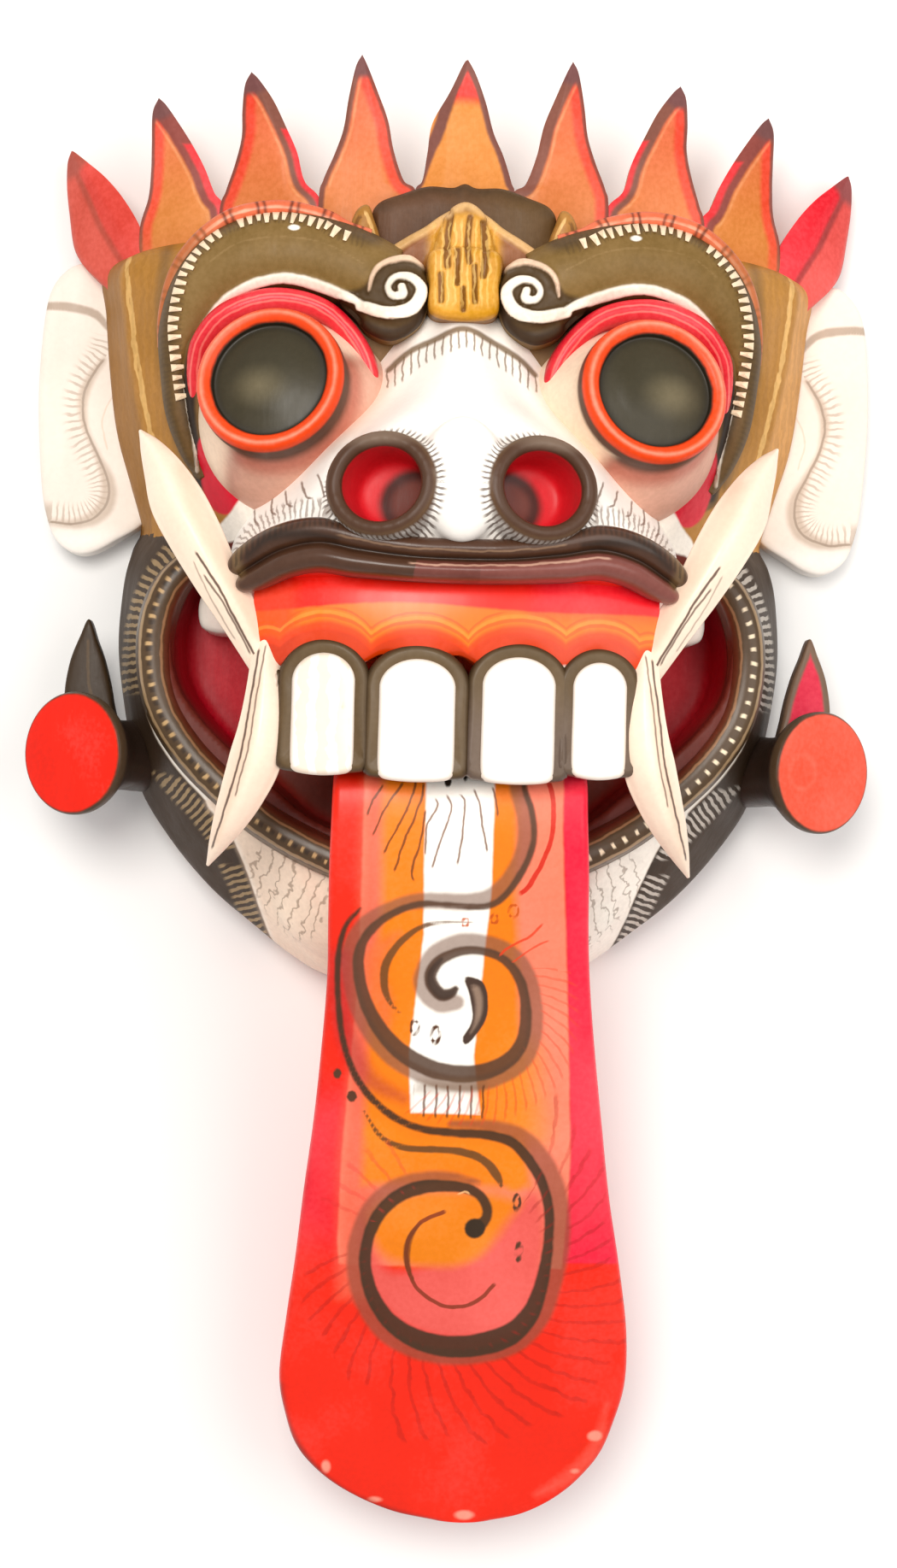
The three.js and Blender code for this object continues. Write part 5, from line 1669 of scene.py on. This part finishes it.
def tongue_columns(paint):
    """Colour fields of the tongue, from its sides to the middle."""
    top = 60
    paint.strip([(48, top), (50.5, -20), (57, -110), (61, -172), (60, -213), (58, -250)],
                [(90, top), (90, -260)], tone(236, 34, 62), within=(top, -225), soft=0.9)
    paint.strip([(48, -90), (58, -130), (60, -240)], [(90, -90), (90, -260)], tone(240, 70, 84),
                within=(-120, -212), soft=22, amount=0.6)
    paint.strip([(-90, -90), (-90, -260)], [(-44, -90), (-46, -174), (-47, -260)],
                tone(232, 52, 74),
                within=(-150, -214), soft=24, amount=0.7)
    paint.strip([(-39.5, top), (-39.5, -20), (-40, -90), (-45.9, -174), (-47, -216), (-44, -260)],
                [(50, top), (50.5, -20), (57, -110), (61, -172), (60, -213), (58, -260)],
                tone(246, 128, 100), within=(top, -228), soft=0.9)
    paint.strip([(-39.5, top), (-40, -90), (-46, -174), (-46, -260)], [(-30, top), (-30, -260)],
                tone(240, 98, 72), within=(top, -245), soft=5, amount=0.8)
    paint.strip([(-31, top), (-31, -20), (-30, -60), (-34, -90), (-36, -170)],
                [(30, top), (30, -50), (34, -100), (40, -165), (44, -200)], tone(242, 124, 14),
                within=(top, -188), soft=3.5)
    paint.strip([(-11.7, top), (-11.7, -30), (-11, -70), (-16, -125), (-14, -160)],
                [(19.1, top), (19.1, -50), (17.2, -75), (14.5, -115), (14, -125), (19, -160)],
                tone(254, 248, 240), within=(top, -153), soft=0.8)
    paint.fill([(20, -126), (40, -118), (46, -140), (47, -166), (22, -156)], tone(244, 136, 44),
               soft=9,
               amount=0.85)


UPPER_CORE = [(32.6, 8), (32.6, -1), (36.3, -11.7), (37.4, -24.8), (33, -38), (24.8, -50.4),
              (16.3, -55), (1, -54.8), (-13.3, -54.6), (-27.3, -60.5), (-35.8, -68.5), (-40, -77.6),
              (-39.7, -88.8), (-36.7, -100), (-30.3, -112.3), (-20.1, -123.5), (-6.5, -131.1),
              (8, -133.7), (21.3, -131.6), (32.2, -124.5), (36.8, -114.2), (36.8, -100.5),
              (33.5, -88.2), (26, -79.4), (16, -75.7), (6.1, -75.9), (-2.6, -80), (-6.8, -85.8),
              (-6.6, -91.4), (-2.1, -96.4), (2.3, -95.7), (4.5, -93.5)]
UPPER_WIDTH = [2.5, 2.6, 2.8, 3, 3.2, 3.4, 3.2, 2.6, 3, 3.6, 4.2, 5, 5.4, 6, 7, 8, 8.4, 8.4, 8, 7,
               6,
               5, 4.4, 4.2, 4, 4.2, 5, 5.6, 6, 6, 5, 3]
UPPER_SHADE = [(29.6, 8), (29.8, -1), (33, -14), (33.4, -27), (28.8, -39.5), (20, -49.6), (8, -53),
               (-12.8, -53.2), (-27.5, -57.3), (-38.5, -65.5), (-44.2, -77), (-43.8, -89),
               (-41, -101), (-34.5, -114.5), (-23.5, -127), (-7.5, -135.5), (8, -138.5),
               (23.5, -136), (36.5, -127.6), (41.3, -115), (41, -100), (37, -86), (28.5, -76),
               (17, -71.8), (5, -71.8), (-6, -77.4), (-10.8, -87), (-10, -95), (-3, -101),
               (5, -100)]


def upper_swirl(paint):
    paint.fill([(-36, -76), (-38, -88), (-33, -104), (-26, -114), (-24, -100), (-28, -88),
                (-26, -76), (-22, -68)], tone(238, 112, 62), soft=4, amount=0.8)
    paint.brush(UPPER_SHADE, [7.5] * 8 + [6] + [7.5] * 21, tone(122, 82, 62), soft=1.3, amount=0.72)
    paint.brush([(-48, -80), (-48, -100), (-43, -122), (-33, -138), (-18, -146)],
                [9, 10, 10, 8, 4], tone(170, 52, 52), soft=4, amount=0.6)
    paint.brush(UPPER_CORE, UPPER_WIDTH, tone(84, 56, 38), soft=0.8, amount=0.95)
    paint.brush(UPPER_CORE[26:], [2, 3, 4, 4.4, 3.4, 2], tone(48, 32, 24), soft=0.9, amount=0.7)
    paint.brush([(11, -62.3), (0.1, -62.6), (-10.8, -64.6), (-20.4, -71.5), (-27.3, -81.8),
                 (-28.1, -93.1), (-25.1, -100.9), (-20.5, -105.6)],
                [0.6, 1.0, 2.2, 3.2, 3.8, 3.6, 2.2, 0.6], tone(104, 66, 28), soft=0.6, amount=0.92)
    banana = [(8.7, -88.2), (16.5, -89.7), (19.6, -98.7), (18.3, -108.9), (10.9, -119.3),
              (8.6, -116.5), (12.7, -107.9), (11.3, -97.8)]
    paint.fill(banana, tone(70, 50, 40), soft=0.5)
    paint.fill([(11.5, -92), (15, -92.5), (17.2, -99), (16, -107.5), (11.8, -114.5), (14, -107.5),
                (13.6, -98)], tone(150, 124, 106), soft=1.2, amount=0.9)


LOWER_CORE = [(-39.9, -57.5), (-46.3, -65.5), (-49.3, -77.8), (-49.5, -93.6), (-47.5, -113.9),
              (-43.2, -129.7), (-36.3, -142.2), (-24.8, -153.4), (-11.2, -160), (4.5, -162),
              (22.1, -162.8), (33.9, -166.5), (41.9, -175.1), (48.2, -185.7), (52.1, -200.4),
              (52.2, -218.1), (49.7, -237.3), (45, -251.1), (36.2, -261), (23.2, -266.1),
              (8.8, -267.8), (-5.7, -265.3), (-19, -258), (-28.5, -245.8), (-33.4, -230.8),
              (-33.1, -217.2), (-28.3, -203.5), (-19.5, -193.9), (-8, -188.9), (4.9, -188),
              (15.3, -189.7), (21.4, -195), (22.9, -202.4), (19, -208)]
LOWER_WIDTH = [1.5, 2.4, 2.8, 2.8, 3, 3.2, 3.4, 3.4, 3.6, 4, 4.6, 5, 5, 4.8, 4.6, 5, 6.6, 9, 11,
               11.5, 11, 10, 8.5, 7, 6, 5.6, 6, 6.6, 6.8, 5.6, 5, 4.6, 5, 6]
LOWER_SHADE = [(5, -158), (24, -158.5), (38, -163), (47.5, -173), (54, -186), (57.5, -201),
               (57.8, -219), (55, -239), (50, -254), (39.5, -266), (24, -271.5), (9, -273),
               (-8, -270.5), (-23.5, -262), (-33.5, -248), (-38.3, -232), (-38, -216),
               (-32.5, -200), (-22, -189.5), (-9, -184.5), (5, -183.5), (18, -186)]


def lower_swirl(paint):
    paint.fill([(-30, -200), (-12, -191), (8, -190), (30, -192), (44, -200), (48, -216), (40, -226),
                (10, -228), (-20, -226), (-31, -214)], tone(234, 126, 26), soft=5)
    paint.fill([(-36, -206), (-31, -220), (-20, -231), (0, -226), (20, -222), (36, -200),
                (44, -190),
                (50, -200), (51, -220), (48, -240), (40, -255), (22, -264), (-4, -262), (-22, -252),
                (-32, -236)], tone(228, 92, 84), soft=4.5)
    paint.fill([(-18, -204), (0, -197), (14, -200), (24, -212), (12, -226), (-8, -226),
                (-15, -216)],
               tone(232, 128, 28), soft=4.5)
    paint.fill([(-35, -164), (-18, -172), (4, -174), (24, -178), (34, -190), (40, -184), (34, -172),
                (18, -167), (-10, -165), (-28, -157)], tone(240, 128, 18), soft=2.5, amount=0.9)
    paint.brush(LOWER_SHADE, [4, 5.5, 7, 8, 9, 9, 9, 8, 8, 8, 8, 8, 8, 8, 8, 8, 7.5, 7, 7, 6, 5, 3],
                tone(134, 72, 52), soft=1.6, amount=0.74)
    paint.brush(LOWER_CORE, LOWER_WIDTH, tone(62, 42, 24), soft=0.8, amount=0.96)
    paint.blobs([(17.4, -208.5)], 4.9, tone(52, 36, 20), soft=0.7)
    paint.line([(8.8, -192), (12.5, -190.4), (14.4, -191.8)], 0.9, tone(250, 190, 130), amount=0.7)
    paint.brush([(-36.5, -152), (-28, -164.6), (-17.5, -169.7), (-3.4, -170.4), (9.5, -171.1),
                 (20, -174.9), (26.7, -182.1), (29.5, -188)], [1, 2.4, 3, 3.2, 3.6, 4, 4.2, 1.2],
                tone(96, 62, 26), soft=0.6, amount=0.92)
    paint.line([(3.6, -200.4), (-7.5, -205.8), (-13.7, -215.4), (-14, -226.3), (-9.1, -238.5),
                (1.6, -246.5), (12.1, -247.7), (21.1, -243.4), (27.9, -235.8)], 1.9,
               tone(128, 48, 22), amount=0.9)
    paint.brush([(-8, -206), (-13.2, -214.4), (-14, -226.3), (-10, -237)], [1, 3, 3, 1],
                tone(110, 52, 20), soft=0.6, amount=0.8)


def tongue_hairs(paint):
    drop = tone(84, 50, 30)
    paint.blobs([(-13.7, -112, 1.9, 3.3), (-4, -115.5, 2.0, 3.6), (36.5, -195.4, 1.7, 3.6),
                 (38.6, -219.7, 1.6, 3.9)], 2, drop, soft=0.3, hole=0.55)
    paint.blobs([(7.8, -62.5, 1.6, 1.9), (20.9, -60.5, 1.7, 2.2), (29.5, -56.9, 2.2, 3)], 2,
                tone(196, 84, 20), soft=0.3, hole=0.5)
    paint.blobs([(-48.7, -135, 2.0, 2.6), (-41.8, -145.7, 2.4, 2.8)], 2, drop, soft=0.5)
    paint.blobs([(-9.4, 2.2, 1.2, 1.2), (-1.8, 1.2, 1.6, 2.6), (5.9, 3.2, 1.1, 1.9)], 2, INK,
                soft=0.4)
    fine = tone(96, 52, 20)
    for points in ([(-31, -1), (-36, -9), (-38, -15)], [(-22, 0), (-30, -12), (-35, -24)],
                   [(-16, 1), (-20, -12), (-30, -32)],
                   [(-13, 0), (-14, -9), (-20, -24), (-25, -40)],
                   [(-11.5, -12), (-13, -24), (-17, -38), (-16, -44)]):
        paint.line(points, 1.0, fine, amount=0.85, wobble=0.6)
    for points in ([(-7.4, -6.6), (-6.6, -10), (-10.6, -19), (-11.4, -32)],
                   [(-2.2, -5), (-0.4, -11), (-4.6, -26), (-8, -38)],
                   [(3.8, -4.6), (6, -9), (5, -22), (3.2, -36)],
                   [(9.8, -2.2), (12.2, -8), (14, -18), (16.4, -30)],
                   [(18, -1), (19.6, -6), (20.6, -14)]):
        paint.line(points, 0.9, tone(110, 64, 34), amount=0.85, wobble=0.5)
    paint.line([(43.6, 2), (45.6, -6), (46, -17), (43.5, -30), (36, -45), (32, -49)], 2.2,
               tone(206, 34, 16), amount=0.92)
    paint.blobs([(-28, 5, 6, 3.4), (-24, 4, 4, 3)], 2, tone(84, 50, 26), soft=1.2)
    paint.strip([(-12, -138), (-14, -153)], [(20, -138), (18, -153)], tone(120, 90, 60),
                within=(-137, -143), soft=3, amount=0.5)
    paint.hatch(paint.xy[:, 0], 5.4, 0.16, np.maximum(np.abs(paint.xy[:, 0] - 4) - 17,
                np.abs(paint.xy[:, 1] + 147) - 8) + paint.away, fine, amount=0.8, jitter=0.2)
    red = tone(222, 66, 34)
    shade = stroke(paint.xy, UPPER_SHADE, 8)
    ring = np.hypot(paint.xy[:, 0] - 2, paint.xy[:, 1] + 104)
    paint.rays((2, -104), 62, np.maximum(-shade, 40 - ring), shade - 15, 0.2, red, amount=0.75,
               twist=0.6, sector=(-1.35, 1.05))
    paint.line([(24, -77.6), (27, -74), (33, -71), (38, -68), (43, -62.5)], 1.1, red, amount=0.9)
    paint.line([(30, -80.5), (36, -76), (41, -72.5), (46, -70)], 0.9, red, amount=0.8)
    dark = tone(150, 22, 14)
    low = stroke(paint.xy, LOWER_SHADE, 7)
    ring = np.hypot(paint.xy[:, 0] - 9, paint.xy[:, 1] + 227)
    rim = 13 - 4 * np.sin(np.arctan2(paint.xy[:, 1] + 227, paint.xy[:, 0] - 9) * 13)
    for sector, reach in (((-3.55, -2.55), 30), ((-2.55, -0.6), 46), ((-0.6, 0.45), 26)):
        paint.rays((9, -222), 46, np.maximum(1 - low, 44 - ring), low - reach + rim * 0.6, 0.17,
                   dark,
                   amount=0.72, twist=-0.35, sector=sector)
    paint.rays((9, -222), 40, np.maximum(1 - low, 44 - ring), low - 18, 0.16, tone(196, 40, 40),
               amount=0.6, sector=(2.05, 2.8))
    # edge: a lighter band along the lower right edge, pale worn chips round the tip, and painted shade
    # along the lower left edge
    edge = tone(250, 150, 130)
    paint.brush([(84, -296), (80, -316), (68, -332), (52, -342)], [1, 6, 7, 2], tone(244, 92, 76),
                soft=3, amount=0.7)
    paint.blobs([(79, -312, 3.4, 2.6), (17, -352.5, 4.4, 2.2), (-50, -330, 2.2, 3.2),
                 (-26, -346, 3, 1.4), (70, -330, 1.8, 1.2)], 2, edge, soft=0.9, amount=0.95)
    # painted shade along the lower left edge
    paint.brush([(-73, -290), (-70, -308), (-60, -326), (-44, -342), (-20, -352), (4, -357)],
                [2, 3, 4, 5, 4, 2], tone(120, 34, 24), soft=2.2, amount=0.75)


camera()
stage()
carved_base()
brows()
eyes()
snout()
upper_lip()
gum()
teeth()
lower_lip()
flames()
forehead()
tusks()
ears()
plugs()
tongue()
